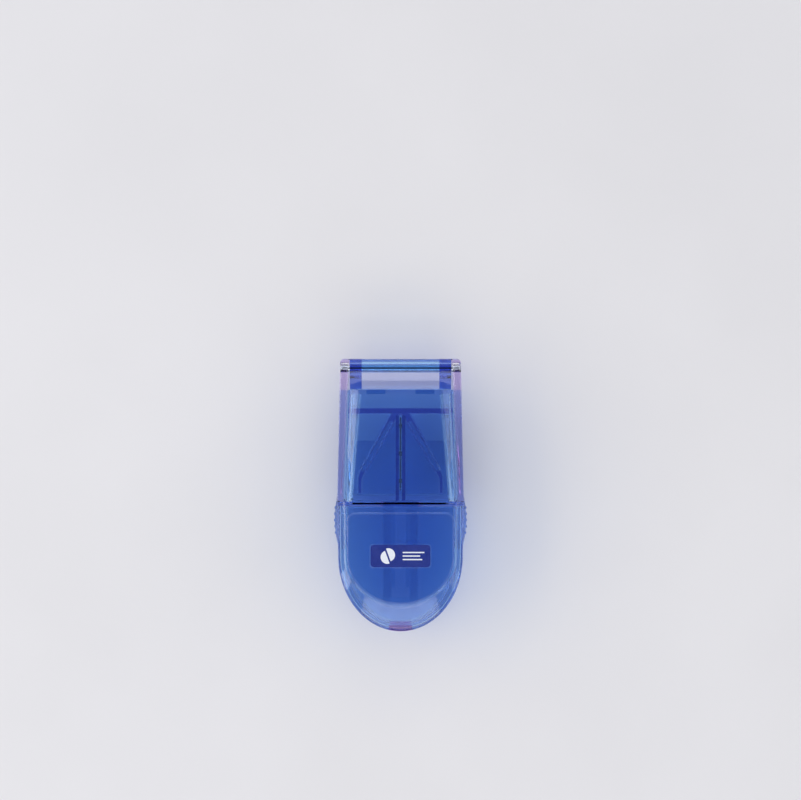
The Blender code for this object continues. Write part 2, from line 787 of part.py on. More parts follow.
def hinge_barrel():
    """The sloping deck behind the roof and the cover over the hinge pin, with a knuckle at each end."""
    half = LID_REAR_HALF_WIDTH
    front = ROOF_REAR - STEP_WALL / 2
    axis = (HINGE_Y, HINGE_HEIGHT)
    start = 90 + math.degrees(DECK_TILT)
    radius = BARREL_RADIUS - COVER_SUNK
    cover_profile = [
        (front, deck_height(front, radius - BARREL_WALL)),
        (front, deck_height(front, radius)),
        *arc(axis, radius, start, 0, 10),
        *arc(axis, radius - BARREL_WALL, 0, start, 10),
    ]
    inside = half - KNUCKLE_LENGTH / 2
    pieces = [slab("hinge cover", cover_profile, -inside, inside, cutters, along="X")]
    knuckle_profile = [
        (front, SKIRT_BOTTOM + GAP),
        (front, deck_height(front)),
        *arc(axis, BARREL_RADIUS, start, KNUCKLE_ARC_END, 24),
    ]
    for sign, hand in ((-1, "left"), (1, "right")):
        low, high = sorted((sign * (half - KNUCKLE_LENGTH), sign * half))
        pieces.append(slab(f"knuckle {hand}", knuckle_profile, low, high, cutters, along="X"))
    return pieces


def make_lid():
    roof_front = NOSE_START - JOINT_RIB / 2
    lid = lid_rear_body("lid_shell", 0, SKIRT_BOTTOM, 0, roof_front, ROOF_REAR)
    join(lid, lid_nose_body("lid nose", 0, 0, NOSE_START, LID_BOTTOM))
    join(lid, panel())
    for piece in grip_ribs("lid", LID_BOTTOM + GAP, GRIP_HEAD):
        join(lid, piece)
    cut(
        lid,
        lid_rear_body(
            "lid rear space", SKIRT, 0, ROOF, NOSE_START + RIB_LAP, ROOF_REAR - STEP_WALL
        ),
    )
    nose_space_start = NOSE_START - JOINT_RIB
    cut(lid, lid_nose_body("lid nose space", LID_WALL, ROOF, nose_space_start, 0))
    for piece in hinge_barrel():
        join(lid, piece)
    bore = rod(
        "lid hinge bore", PIN_RADIUS + PIN_GAP, (-2 * WAIST_HALF_WIDTH, HINGE_Y, HINGE_HEIGHT),
        4 * WAIST_HALF_WIDTH, "X", cutters,
    )
    cut(lid, bore)
    window_sill = deck_height(ROOF_REAR) + WINDOW_SILL
    for sign, hand in ((-1, "left"), (1, "right")):
        middle = sign * WINDOW_OFFSET
        window = box(
            f"window {hand}", (middle - WINDOW_LENGTH / 2, middle + WINDOW_LENGTH / 2),
            (ROOF_REAR - 2 * STEP_WALL, ROOF_REAR + MM),
            (window_sill, window_sill + WINDOW_HEIGHT), cutters,
        )
        cut(lid, window)
    notch = front_patch(NOTCH_HALF_WIDTH, -MM, LID_WALL + GAP)
    cut(lid, slab("thumb notch", notch, LID_BOTTOM - MM, LID_BOTTOM + NOTCH_HEIGHT, cutters))
    cut(lid, label_block("label recess", GAP, LABEL_RECESS, cutters))
    return finish(lid, blue_plastic)


def label_block(name, margin, depth, collection):
    """A flat rounded rectangle on the raised panel, sunk by depth at its centre."""
    half_width = LABEL_WIDTH / 2 + margin
    half_length = LABEL_LENGTH / 2 + margin
    corners = []
    for sign_x, sign_y, start in ((1, 1, 0), (-1, 1, 90), (-1, -1, 180), (1, -1, 270)):
        centre = (
            sign_x * (half_width - LABEL_CORNER),
            LABEL_CENTRE + sign_y * (half_length - LABEL_CORNER),
        )
        corners += arc(centre, LABEL_CORNER, start, start + 90, CORNER_SEGMENTS)
    depths = (depth, -MM) if margin else (depth, depth - LABEL_THICKNESS)
    loops = [[Vector((x, y, panel_top(y) - d)) for x, y in corners] for d in depths]
    return loft(name, loops, collection)


# ---------------------------------------------------------------- blade, its holder and the pins
def make_blade():
    half = BLADE_THICKNESS / 2
    section = [
        (-half, BLADE_TOP),
        (-half, BLADE_EDGE + BLADE_BEVEL),
        (0.0, BLADE_EDGE),
        (half, BLADE_EDGE + BLADE_BEVEL),
        (half, BLADE_TOP),
    ]
    loops = [[Vector((x, y, z)) for x, z in section] for y in (BLADE_FRONT, BLADE_REAR)]
    blade = loft("blade", loops, parts)
    for place, y in BLADE_PINS.items():
        hole = rod(
            f"blade hole {place}", BLADE_PIN_RADIUS + PIN_GAP, (-MM, y, BLADE_PIN_HEIGHT), 2 * MM,
            "X", cutters, segments=16,
        )
        cut(blade, hole)
    return finish(blade, steel)


def make_blade_holder():
    inner = BLADE_THICKNESS / 2 + PIN_GAP
    outer = BLADE_HOLDER_WIDTH / 2
    top = ROOF_BOTTOM - GAP
    taper = BLADE_HOLDER_TAPER
    profile = [
        (BLADE_HOLDER_REAR, BLADE_HOLDER_BOTTOM),
        (BLADE_HOLDER_REAR, top),
        (BLADE_HOLDER_FRONT, top),
        (BLADE_HOLDER_FRONT, BLADE_HOLDER_BOTTOM + taper),
        (BLADE_HOLDER_FRONT + taper, BLADE_HOLDER_BOTTOM),
    ]
    for sign, hand in ((-1, "left"), (1, "right")):
        low, high = sorted((sign * inner, sign * outer))
        cheek = slab(f"blade_holder_{hand}", profile, low, high, parts, along="X")
        for place, y in BLADE_PINS.items():
            hole = rod(
                f"cheek hole {hand} {place}", BLADE_PIN_RADIUS + PIN_GAP,
                (-2 * MM, y, BLADE_PIN_HEIGHT), 4 * MM, "X", cutters, segments=16,
            )
            cut(cheek, hole)
        finish(cheek, dark_plastic)


def make_blade_pins():
    half = BLADE_HOLDER_WIDTH / 2
    for place, y in BLADE_PINS.items():
        pin = rod(
            f"blade_pin_{place}", BLADE_PIN_RADIUS, (-half, y, BLADE_PIN_HEIGHT), 2 * half, "X",
            parts, segments=16,
        )
        finish(pin, steel)


def make_hinge_pin():
    length = 2 * (HINGE_END_HALF_WIDTH - PIN_RECESS)
    pin = rod("hinge_pin", PIN_RADIUS, (-length / 2, HINGE_Y, HINGE_HEIGHT), length, "X", parts)
    return finish(pin, steel, bevel=0.2 * MM)


# ---------------------------------------------------------------- build
def place_on(parent, names):
    """Parents pieces to an empty and keeps them where they are."""
    bpy.context.view_layer.update()
    for name in names:
        piece = bpy.data.objects[name]
        placed = piece.matrix_world.copy()
        piece.parent = parent
        piece.matrix_parent_inverse = parent.matrix_world.inverted()
        piece.matrix_world = placed


def new_empty(name, place):
    empty = bpy.data.objects.new(name, None)
    empty.location = place
    parts.objects.link(empty)
    return empty


clear_scene()
parts = new_collection("pill splitter")
cutters = new_collection("cutters")
blue_plastic = new_material("clear blue plastic", (0.09, 0.22, 0.62), 0.08, alpha=0.5)
holder_plastic = new_material("clear blue holder plastic", (0.07, 0.18, 0.55), 0.15, alpha=0.6)
dark_plastic = new_material("dark blue plastic", (0.02, 0.04, 0.16), 0.3)
steel = new_material("steel", (0.62, 0.64, 0.66), 0.25, metallic=1.0)
print_ink = new_material("label print", (0.02, 0.03, 0.25), 0.4)

make_base()
make_pill_holder()
make_drawer()
make_lid()
make_blade()
make_blade_holder()
make_blade_pins()
make_hinge_pin()
finish(label_block("lid_label", 0, LABEL_RECESS - GAP / 2, parts), print_ink)

lid_axis = new_empty("lid axis", (0, HINGE_Y, HINGE_HEIGHT))
place_on(
    lid_axis,
    ["lid_shell", "lid_label", "blade", "blade_holder_left", "blade_holder_right"]
    + [f"blade_pin_{place}" for place in BLADE_PINS],
)
drawer_slide = new_empty("drawer slide", (0, NOSE_START, FLOOR + GAP))
place_on(drawer_slide, ["storage_drawer"])
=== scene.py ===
import math

import bmesh
import bpy
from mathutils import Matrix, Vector


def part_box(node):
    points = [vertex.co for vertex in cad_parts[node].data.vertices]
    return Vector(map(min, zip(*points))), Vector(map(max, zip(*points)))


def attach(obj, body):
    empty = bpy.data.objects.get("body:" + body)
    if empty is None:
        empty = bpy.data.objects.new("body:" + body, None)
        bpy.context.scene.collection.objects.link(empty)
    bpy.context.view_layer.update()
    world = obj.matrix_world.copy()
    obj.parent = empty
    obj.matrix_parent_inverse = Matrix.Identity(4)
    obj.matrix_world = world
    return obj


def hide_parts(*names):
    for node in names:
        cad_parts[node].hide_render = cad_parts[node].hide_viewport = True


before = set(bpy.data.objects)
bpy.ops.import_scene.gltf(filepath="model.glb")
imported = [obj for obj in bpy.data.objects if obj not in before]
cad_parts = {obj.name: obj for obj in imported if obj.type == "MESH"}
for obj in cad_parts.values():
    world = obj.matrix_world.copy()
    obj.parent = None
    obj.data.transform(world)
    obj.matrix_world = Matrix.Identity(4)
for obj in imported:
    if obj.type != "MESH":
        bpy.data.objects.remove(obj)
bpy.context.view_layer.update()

mm = 0.001

# camera: looks straight down on the splitter, which lies with its hinge end away from us
cameraSet = {
    "height": 612 * mm,
    "aimY": 27.2 * mm,
    "lens": 93.7,
    "sensorWidth": 36,
    "nearest": 10 * mm,
    "farthest": 20,         # metres
}


def makeCamera():
    data = bpy.data.cameras.new("overheadCamera")
    data.lens = cameraSet["lens"]
    data.sensor_width = cameraSet["sensorWidth"]
    data.clip_start = cameraSet["nearest"]
    data.clip_end = cameraSet["farthest"]
    camera = bpy.data.objects.new("overheadCamera", data)
    camera.location = (0, cameraSet["aimY"], cameraSet["height"])
    bpy.context.scene.collection.objects.link(camera)
    bpy.context.scene.camera = camera


makeCamera()
print("camera ready")

# places read from the fixed frame
baseLow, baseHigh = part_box("base_shell")
drawerLow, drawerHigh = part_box("storage_drawer")
holderLow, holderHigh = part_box("pill_holder")
bladeLow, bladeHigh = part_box("blade")
cheekLow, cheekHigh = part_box("blade_holder_right")
labelLow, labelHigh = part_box("lid_label")
pinLow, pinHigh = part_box("hinge_pin")

gap = 0.3 * mm                                  # kept between neighbours
farOut = 60 * mm                                # past the splitter on every side, for cutters
rearEnd = baseHigh.y
frontEnd = baseLow.y
noseStart = drawerHigh.y                        # rear face of the drawer and of the lid's nose
jointY = noseStart + gap                        # front face of the base
floorTop = drawerLow.z - gap
drawerRim = drawerHigh.z
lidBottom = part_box("lid_shell")[0].z
hingeY = (pinLow.y + pinHigh.y) / 2
hingeZ = (pinLow.z + pinHigh.z) / 2
wallTop = baseHigh.z
barrelRadius = wallTop - hingeZ

# solids are lofts through loops of points; these are their common limits
shapeSet = {
    "weld": 0.0005 * mm,        # points nearer than this become one
    "cornerShare": 0.45,        # of an edge, the most that a rounded corner takes
    "leastLean": 0.5,           # keeps the points of an inset outline from running away at sharp corners
    "flareRise": 20 * mm,       # how far a flared cutter stands above the face that it opens
}


def between(low, high, share):
    return low + (high - low) * share


def arcPoints(centre, radius, start, end, steps):
    angles = [math.radians(between(start, end, i / steps)) for i in range(steps + 1)]
    return [(centre[0] + radius * math.cos(a), centre[1] + radius * math.sin(a)) for a in angles]


def addMesh(name, build):
    mesh = bpy.data.meshes.new(name)
    form = bmesh.new()
    build(form)
    bmesh.ops.remove_doubles(form, verts=form.verts, dist=shapeSet["weld"])
    bmesh.ops.recalc_face_normals(form, faces=form.faces)
    form.to_mesh(mesh)
    form.free()
    piece = bpy.data.objects.new(name, mesh)
    bpy.context.scene.collection.objects.link(piece)
    return piece


def loftSolid(name, loops):
    # a closed solid through loops of equal length, first to last
    def build(form):
        rings = [[form.verts.new(point) for point in loop] for loop in loops]
        count = len(loops[0])
        for low, high in zip(rings, rings[1:]):
            for i in range(count):
                j = (i + 1) % count
                form.faces.new((low[i], low[j], high[j], high[i]))
        form.faces.new(rings[0])
        form.faces.new(rings[-1])
    return addMesh(name, build)


def curveBetween(start, corner, end, steps):
    shares = [i / steps for i in range(steps + 1)]
    return [start * (1 - t) ** 2 + corner * 2 * t * (1 - t) + end * t * t for t in shares]


def easedCorner(before, corner, after, radius, steps):
    ends = []
    for edge in (before - corner, after - corner):
        share = min(radius / max(edge.length, shapeSet["weld"]), shapeSet["cornerShare"])
        ends.append(corner + edge * share)
    return curveBetween(ends[0], corner, ends[1], steps)


def softened(loops, radii, steps):
    # rounds the crease along each inner loop of a loft
    result = [loops[0]]
    for before, here, after, radius in zip(loops, loops[1:-1], loops[2:], radii):
        if radius:
            bands = [easedCorner(a, p, b, radius, steps) for a, p, b in zip(before, here, after)]
            result += [list(band) for band in zip(*bands)]
        else:
            result.append(here)
    result.append(loops[-1])
    return result


def roundedOutline(points, radius, steps=4):
    # radius: one for all corners, or one for each
    corners = [Vector(p) for p in points]
    radii = radius if isinstance(radius, (list, tuple)) else [radius] * len(corners)
    result = []
    for i, corner in enumerate(corners):
        if radii[i]:
            after = corners[(i + 1) % len(corners)]
            result += easedCorner(corners[i - 1], corner, after, radii[i], steps)
        else:
            result.append(corner)
    return [(p.x, p.y) for p in result]


def shrunk(outline, inset):
    # the outline moved inwards, or outwards by a negative inset
    count = len(outline)
    area = sum(a[0] * b[1] - b[0] * a[1] for a, b in zip([outline[-1], *outline], outline))
    inset = math.copysign(inset, area * inset)
    result = []
    for i, here in enumerate(outline):
        here = Vector(here)
        before = (here - Vector(outline[i - 1])).normalized()
        after = (Vector(outline[(i + 1) % count]) - here).normalized()
        inwards = Vector((-before.y - after.y, before.x + after.x)).normalized()
        lean = max(shapeSet["leastLean"], inwards.dot(Vector((-before.y, before.x))))
        result.append(tuple(here + inwards * inset / lean))
    return result


def atHeight(outline, z):
    return [Vector((x, y, z)) for x, y in outline]


def bevelledSlab(name, outline, low, high, wide, deep):
    # a slab with a flat bevel round its top; a negative width flares it
    loops = [atHeight(outline, low), atHeight(outline, high - deep), atHeight(shrunk(outline, wide), high)]
    if wide < 0:
        loops.append(atHeight(shrunk(outline, wide), high + shapeSet["flareRise"]))
    return loftSolid(name, loops)


def slabSolid(name, outline, low, high, along="Z"):
    # (x, y) outlines stand up along Z, (y, z) outlines run along X
    if along == "X":
        loops = [[Vector((level, u, v)) for u, v in outline] for level in (low, high)]
    else:
        loops = [atHeight(outline, level) for level in (low, high)]
    return loftSolid(name, loops)


def boxSolid(name, xRange, yRange, zRange, corner=0.0):
    (x0, x1), (y0, y1), (z0, z1) = [sorted(pair) for pair in (xRange, yRange, zRange)]
    outline = roundedOutline([(x0, y0), (x1, y0), (x1, y1), (x0, y1)], corner)
    return slabSolid(name, outline, z0, z1)


def turnedSolid(name, profile, origin, along, steps):
    # profile: (place along the axis, radius) from one end to the other
    loops = []
    for place, radius in profile:
        ring = []
        for i in range(steps):
            a = 2 * math.pi * i / steps
            u = radius * math.cos(a)
            v = radius * math.sin(a)
            offset = (place, u, v) if along == "X" else (u, v, place)
            ring.append(Vector(origin) + Vector(offset))
        loops.append(ring)
    return loftSolid(name, loops)


def rodProfile(length, radius, ease, steps=4):
    # a bar with eased ends
    start = [(ease * (1 - math.cos(a)), radius - ease * (1 - math.sin(a)))
             for a in [math.pi / 2 * i / steps for i in range(steps + 1)]]
    return start + [(length - place, r) for place, r in reversed(start)]


def roundRod(name, radius, origin, length, along="Z", ease=0.0, steps=48):
    profile = rodProfile(length, radius, ease) if ease else [(0, radius), (length, radius)]
    return turnedSolid(name, profile, origin, along, steps)


def settle(piece):
    # applies the modifiers
    bpy.context.view_layer.update()
    depsgraph = bpy.context.evaluated_depsgraph_get()
    mesh = bpy.data.meshes.new_from_object(piece.evaluated_get(depsgraph))
    piece.modifiers.clear()
    piece.data = mesh


def workWith(piece, tools, operation):
    for tool in tools:
        step = piece.modifiers.new(tool.name, "BOOLEAN")
        step.operation = operation
        step.object = tool
    settle(piece)
    for tool in tools:
        bpy.data.objects.remove(tool)


def cutAway(piece, *tools):
    workWith(piece, tools, "DIFFERENCE")


def joinOn(piece, *tools):
    workWith(piece, tools, "UNION")


def easeEdges(piece, width, angle=40, steps=2):
    ease = piece.modifiers.new("easedEdges", "BEVEL")
    ease.width = width
    ease.segments = steps
    ease.limit_method = "ANGLE"
    ease.angle_limit = math.radians(angle)
    ease.use_clamp_overlap = True
    settle(piece)


def finishPiece(piece, body, material, nodes=(), sharp=32):
    piece.data.shade_smooth()
    piece.data.set_sharp_from_angle(angle=math.radians(sharp))
    even = piece.modifiers.new("evenNormals", "WEIGHTED_NORMAL")
    even.keep_sharp = True
    settle(piece)
    piece.data.materials.clear()
    piece.data.materials.append(material)
    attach(piece, body)
    if nodes:
        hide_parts(*nodes)


class Graph:
    # a material's nodes, wired by short calls
    def __init__(self, name):
        self.material = bpy.data.materials.new(name)
        self.material.use_nodes = True
        self.tree = self.material.node_tree
        self.shader = self.tree.nodes["Principled BSDF"]
        self.output = self.tree.nodes["Material Output"]
        self.place = self.add("TexCoord").outputs["Object"]

    def add(self, kind):
        return self.tree.nodes.new("ShaderNode" + kind)

    def link(self, source, target):
        self.tree.links.new(source, target)

    def stretched(self, scale, turn=(0, 0, 0)):
        mapping = self.add("Mapping")
        mapping.inputs["Scale"].default_value = scale
        mapping.inputs["Rotation"].default_value = turn
        self.link(self.place, mapping.inputs["Vector"])
        return mapping.outputs[0]

    def noise(self, scale, detail=2.0, where=None, distortion=0.0):
        node = self.add("TexNoise")
        node.inputs["Scale"].default_value = scale
        node.inputs["Detail"].default_value = detail
        node.inputs["Distortion"].default_value = distortion
        self.link(where or self.place, node.inputs["Vector"])
        return node.outputs["Fac"]

    def grain(self, scale, detail):
        # a scale for each direction draws the grain out into lines
        if isinstance(scale, tuple):
            return self.noise(1.0, detail, self.stretched(scale))
        return self.noise(scale, detail)

    def spread(self, source, inLow, inHigh, outLow, outHigh):
        node = self.add("MapRange")
        for socket, value in zip(("From Min", "From Max", "To Min", "To Max"),
                                 (inLow, inHigh, outLow, outHigh)):
            node.inputs[socket].default_value = value
        self.link(source, node.inputs["Value"])
        return node.outputs["Result"]

    def rangedGrain(self, scale, detail, inLow, inHigh, outLow, outHigh):
        return self.spread(self.grain(scale, detail), inLow, inHigh, outLow, outHigh)

    def maths(self, operation, first, second):
        node = self.add("Math")
        node.operation = operation
        for socket, value in zip(node.inputs, (first, second)):
            if isinstance(value, (int, float)):
                socket.default_value = value
            else:
                self.link(value, socket)
        return node.outputs[0]

    def blend(self, share, first, second):
        node = self.add("MixRGB")
        for socket, value in zip((node.inputs[1], node.inputs[2]), (first, second)):
            if isinstance(value, tuple):
                socket.default_value = (*value, 1)
            else:
                self.link(value, socket)
        self.link(share, node.inputs[0])
        return node.outputs[0]

    def bump(self, height, distance, under=None):
        node = self.add("Bump")
        node.inputs["Distance"].default_value = distance
        self.link(height, node.inputs["Height"])
        if under:
            self.link(under, node.inputs["Normal"])
        return node.outputs["Normal"]

    def within(self, zone, fade, slope=0.0):
        # 1 inside the zone, which gives a range or None for each of x, y and z;
        # z may be measured from a plane that slopes along y
        apart = self.add("SeparateXYZ")
        self.link(self.place, apart.inputs[0])
        sockets = list(apart.outputs)
        if slope:
            sockets[2] = self.maths("SUBTRACT", sockets[2], self.maths("MULTIPLY", sockets[1], slope))
        share = None
        for socket, reach in zip(sockets, zone):
            if reach is None:
                continue
            rise = self.spread(socket, reach[0] - fade, reach[0] + fade, 0.0, 1.0)
            fall = self.spread(socket, reach[1] - fade, reach[1] + fade, 1.0, 0.0)
            both = self.maths("MULTIPLY", rise, fall)
            share = self.maths("MULTIPLY", share, both) if share else both
        return share

    def scratches(self, scale, turn, crest):
        # thin lines: the crest of a noise drawn out along one direction
        stretch = tuple(scale * share for share in clearSet["scratchStretch"])
        lines = self.noise(1.0, 1.0, self.stretched(stretch, turn))
        return self.spread(lines, crest, crest + clearSet["scratchEdge"], 0.0, 1.0)


clearSet = {
    "tint": (0.37, 0.62, 0.90),             # of one wall
    "ior": 1.5,
    "absorbColour": (0.56, 0.0, 0.67),      # long paths turn violet
    "absorbDensity": 26.0,                  # per metre of plastic
    "rough": (0.0, 0.04),
    "polish": (160, 3.0, 0.35, 0.7),        # grain's scale and detail, then the range that is used
    "flow": 70,                             # slow waves left by the flow of the melt
    "flowTwist": 0.6,
    "flowDepth": 0.02 * mm,
    "peel": (700, 2.0),
    "peelDepth": 0.0012 * mm,
    "scratches": ((5200, (0, 0, 0.5), 0.69), (4300, (0, 0, -0.9), 0.7)),    # scale, turn, crest
    "scratchStretch": (1.0, 0.03, 0.3),
    "scratchEdge": 0.02,
    "scratchDepth": 0.0015 * mm,
    "scratchRough": 0.12,
    "zoneFade": 0.03 * mm,
}
# the base's tint is paler than the lid's. This is painted light, standing in for the side light that the
# base's walls catch
baseLook = dict(clearSet, tint=(0.64, 0.80, 0.955))
drawerLook = dict(clearSet, tint=(0.60, 0.77, 0.95))
holderLook = dict(clearSet, tint=(0.66, 0.79, 0.95), rough=(0.01, 0.06), zoneFade=0.02 * mm)
placeTintsAndPaintedLight = {                          # instead of the look's own, in a zone of the piece
    # paler tint: over the hinge it is partly thinner plastic and partly painted light, standing in for the
    # front lamps' glare that the lid's step blocks on the deck and on the floor below it; it is also paler
    # over the rail and under the drawer
    "thin": (0.90, 0.94, 0.985),
    "thick": (0.13, 0.25, 0.76),
    # untinted bevel bands: a painted highlight, standing in for the glint along the bevelled edges of the
    # V's arms and of the lid's panel
    "bevel": (1.0, 1.0, 1.0),
    "arm": (0.26, 0.30, 0.74),          # on top of the V's arms
    "crossWall": (0.44, 0.46, 0.84),
    "thumb": (0.30, 0.14, 0.56),        # where the thumb goes
    "cover": (0.34, 0.62, 0.96),        # over the hinge pin
}


def clearPlastic(name, look, zones):
    # zones: ((x range, y range, z range), name of the tint, slope if any)
    g = Graph(name)
    shader = g.shader
    shader.inputs["Transmission Weight"].default_value = 1.0
    shader.inputs["IOR"].default_value = look["ior"]
    flow = g.noise(look["flow"], distortion=look["flowTwist"])
    lines = g.maths("ADD", *[g.scratches(*line) for line in look["scratches"]])
    rough = g.rangedGrain(*look["polish"], *look["rough"])
    rough = g.maths("ADD", rough, g.maths("MULTIPLY", lines, look["scratchRough"]))
    g.link(rough, shader.inputs["Roughness"])
    normal = g.bump(flow, look["flowDepth"])
    normal = g.bump(g.grain(*look["peel"]), look["peelDepth"], under=normal)
    normal = g.bump(lines, look["scratchDepth"], under=normal)
    g.link(normal, shader.inputs["Normal"])

    # soft light goes straight through, losing what one face takes
    clear = g.add("BsdfTransparent")
    rays = g.add("LightPath")
    straight = g.maths("MAXIMUM", rays.outputs["Is Shadow Ray"], rays.outputs["Is Diffuse Ray"])
    either = g.add("MixShader")
    g.link(straight, either.inputs[0])
    g.link(shader.outputs[0], either.inputs[1])
    g.link(clear.outputs[0], either.inputs[2])
    g.link(either.outputs[0], g.output.inputs["Surface"])
    shares = [(g.within(zone, look["zoneFade"], *slope), tintName) for zone, tintName, *slope in zones]
    for socket, power in ((shader.inputs["Base Color"], 1.0), (clear.inputs["Color"], 0.5)):
        tint = tuple(c ** power for c in look["tint"])
        socket.default_value = (*tint, 1)
        for share, tintName in shares:
            tint = g.blend(share, tint, tuple(c ** power for c in placeTintsAndPaintedLight[tintName]))
        g.link(tint, socket)

    inside = g.add("VolumeAbsorption")
    inside.inputs["Color"].default_value = (*look["absorbColour"], 1)
    inside.inputs["Density"].default_value = look["absorbDensity"]
    g.link(inside.outputs[0], g.output.inputs["Volume"])
    return g.material


def grainedFinish(name, look):
    # colour, roughness and relief, each from a grain with its own scale and detail
    g = Graph(name)
    g.shader.inputs["Metallic"].default_value = look["metallic"]
    share = g.rangedGrain(*look["shade"], 0.0, 1.0)
    g.link(g.blend(share, *look["colours"]), g.shader.inputs["Base Color"])
    g.link(g.rangedGrain(*look["polish"], *look["rough"]), g.shader.inputs["Roughness"])
    scale, detail, depth = look["relief"]
    g.link(g.bump(g.grain(scale, detail), depth), g.shader.inputs["Normal"])
    return g.material


cheekPlastic = grainedFinish("denseBluePlastic", {
    "metallic": 0.0,
    "colours": ((0.034, 0.056, 0.27), (0.046, 0.076, 0.34)),
    "rough": (0.22, 0.36),
    "shade": (300, 4.0, 0.3, 0.7),
    "polish": (900, 3.0, 0.3, 0.7),
    "relief": (6500, 3.0, 0.0016 * mm),
})
bladeSteel = grainedFinish("groundBladeSteel", {
    "metallic": 1.0,
    "colours": ((0.42, 0.46, 0.60), (0.62, 0.66, 0.80)),
    "rough": (0.16, 0.32),
    "shade": ((900, 4200, 260), 3.0, 0.3, 0.7),         # ground across its length
    "polish": ((900, 4200, 260), 3.0, 0.2, 0.8),
    "relief": ((900, 4200, 260), 3.0, 0.0008 * mm),
})
wireSteel = grainedFinish("drawnSteelWire", {
    "metallic": 1.0,
    "colours": ((0.52, 0.55, 0.62), (0.40, 0.42, 0.48)),
    "rough": (0.14, 0.26),
    "shade": (1500, 3.0, 0.45, 0.7),
    "polish": ((500, 9000, 9000), 3.0, 0.2, 0.8),       # drawn along its length
    "relief": ((500, 9000, 9000), 3.0, 0.0006 * mm),
})
labelFilm = grainedFinish("labelFilm", {
    "metallic": 0.0,
    "colours": ((0.008, 0.022, 0.20), (0.014, 0.034, 0.26)),
    "rough": (0.28, 0.46),
    "shade": (2200, 4.0, 0.35, 0.7),
    "polish": (500, 3.0, 0.3, 0.7),
    "relief": (2200, 4.0, 0.002 * mm),
})
whiteInk = grainedFinish("whiteInk", {
    "metallic": 0.0,
    "colours": ((0.82, 0.85, 0.90), (0.66, 0.72, 0.84)),
    "rough": (0.38, 0.55),
    "shade": (5200, 3.0, 0.35, 0.75),
    "polish": (5200, 3.0, 0.3, 0.7),
    "relief": (5200, 3.0, 0.002 * mm),
})
print("materials ready")

# the splitter's outline in plan
planSet = {
    "hingeHalf": 17.2 * mm,
    "waistHalf": 18.0 * mm,
    "noseHalf": 17.8 * mm,
    "noseLength": 21.6 * mm,
    "cornerRadius": 1.2 * mm,
    "hingeWall": 2.4 * mm,      # side wall at the hinge end
    "waistWall": 1.5 * mm,      # and at the joint
    "noseSteps": 44,            # each side of the tip
    "gripSteps": 26,
    "stepFromHinge": 6.2 * mm,  # from the hinge's axis to the step in the lid's roof
}
gripSet = {
    "rear": 0.7 * mm,           # where the grip starts
    "length": 16.1 * mm,
    "swell": 1.0 * mm,
    "foot": 3.3 * mm,           # heights of its lower and upper end
    "head": 12.4 * mm,
    "fade": 1.2 * mm,
    "ribs": 5,
    "ribPitch": 1.8 * mm,
    "ribRadius": 0.45 * mm,
    "ribProud": 0.25 * mm,
    "ribEase": 0.35 * mm,
    "ease": 0.5 * mm,
}
noseCentre = frontEnd + planSet["noseLength"]
roofRear = hingeY - planSet["stepFromHinge"]
earInnerHalf = planSet["hingeHalf"] - planSet["hingeWall"]


def side(y):
    # half-width of the body without its grips
    if y >= 0:
        return between(planSet["waistHalf"], planSet["hingeHalf"], y / rearEnd)
    return between(planSet["waistHalf"], planSet["noseHalf"], y / noseCentre)


def grip(y):
    # extra half-width of the finger grip, a shallow arc
    half = gripSet["length"] / 2
    fromMiddle = y - (gripSet["rear"] - half)
    if abs(fromMiddle) >= half:
        return 0.0
    radius = (half ** 2 + gripSet["swell"] ** 2) / (2 * gripSet["swell"])
    return math.sqrt(radius ** 2 - fromMiddle ** 2) - radius + gripSet["swell"]


def innerSide(y):
    # half-width between the raised side walls
    share = (rearEnd - y) / (rearEnd - jointY)
    return side(y) - between(planSet["hingeWall"], planSet["waistWall"], share)


def noseOutline(inset=0.0, start=None, swell=0.0):
    # the rounded end, from the joint round the front and back
    start = noseStart if start is None else start
    steps = planSet["gripSteps"]
    right = []
    for i in range(steps):
        y = between(start, noseCentre, i / steps)
        right.append((side(y) + swell * grip(y) - inset, y))
    steps = planSet["noseSteps"]
    for i in range(steps):
        a = math.pi / 2 * i / steps
        y = noseCentre - (planSet["noseLength"] - inset) * math.sin(a)
        right.append(((planSet["noseHalf"] - inset) * math.cos(a) + swell * grip(y), y))
    return right + [(0.0, frontEnd + inset)] + [(-x, y) for x, y in reversed(right)]


def bodyOutline(inset=0.0, swell=0.0):
    radius = planSet["cornerRadius"]
    centre = (planSet["hingeHalf"] - radius, rearEnd - radius)
    half = arcPoints(centre, radius - inset, 90, 0, steps=8)
    for share in (0, 0.25, 0.5, 0.75, 1):
        y = between(gripSet["rear"], jointY, share)
        half.append((side(y) + swell * grip(y) - inset, y))
    return half + noseOutline(inset, swell=swell) + [(-x, y) for x, y in reversed(half)]


def gripRibs(owner, low, high):
    ribs = []
    middle = gripSet["rear"] - gripSet["length"] / 2
    for i in range(gripSet["ribs"]):
        y = middle + (i - (gripSet["ribs"] - 1) / 2) * gripSet["ribPitch"]
        x = side(y) + grip(y) + gripSet["ribProud"] - gripSet["ribRadius"]
        for sign in (-1, 1):
            ribs.append(roundRod(f"{owner}Rib{i}{sign}", gripSet["ribRadius"], (sign * x, y, low),
                                 high - low, ease=gripSet["ribEase"], steps=24))
    return ribs


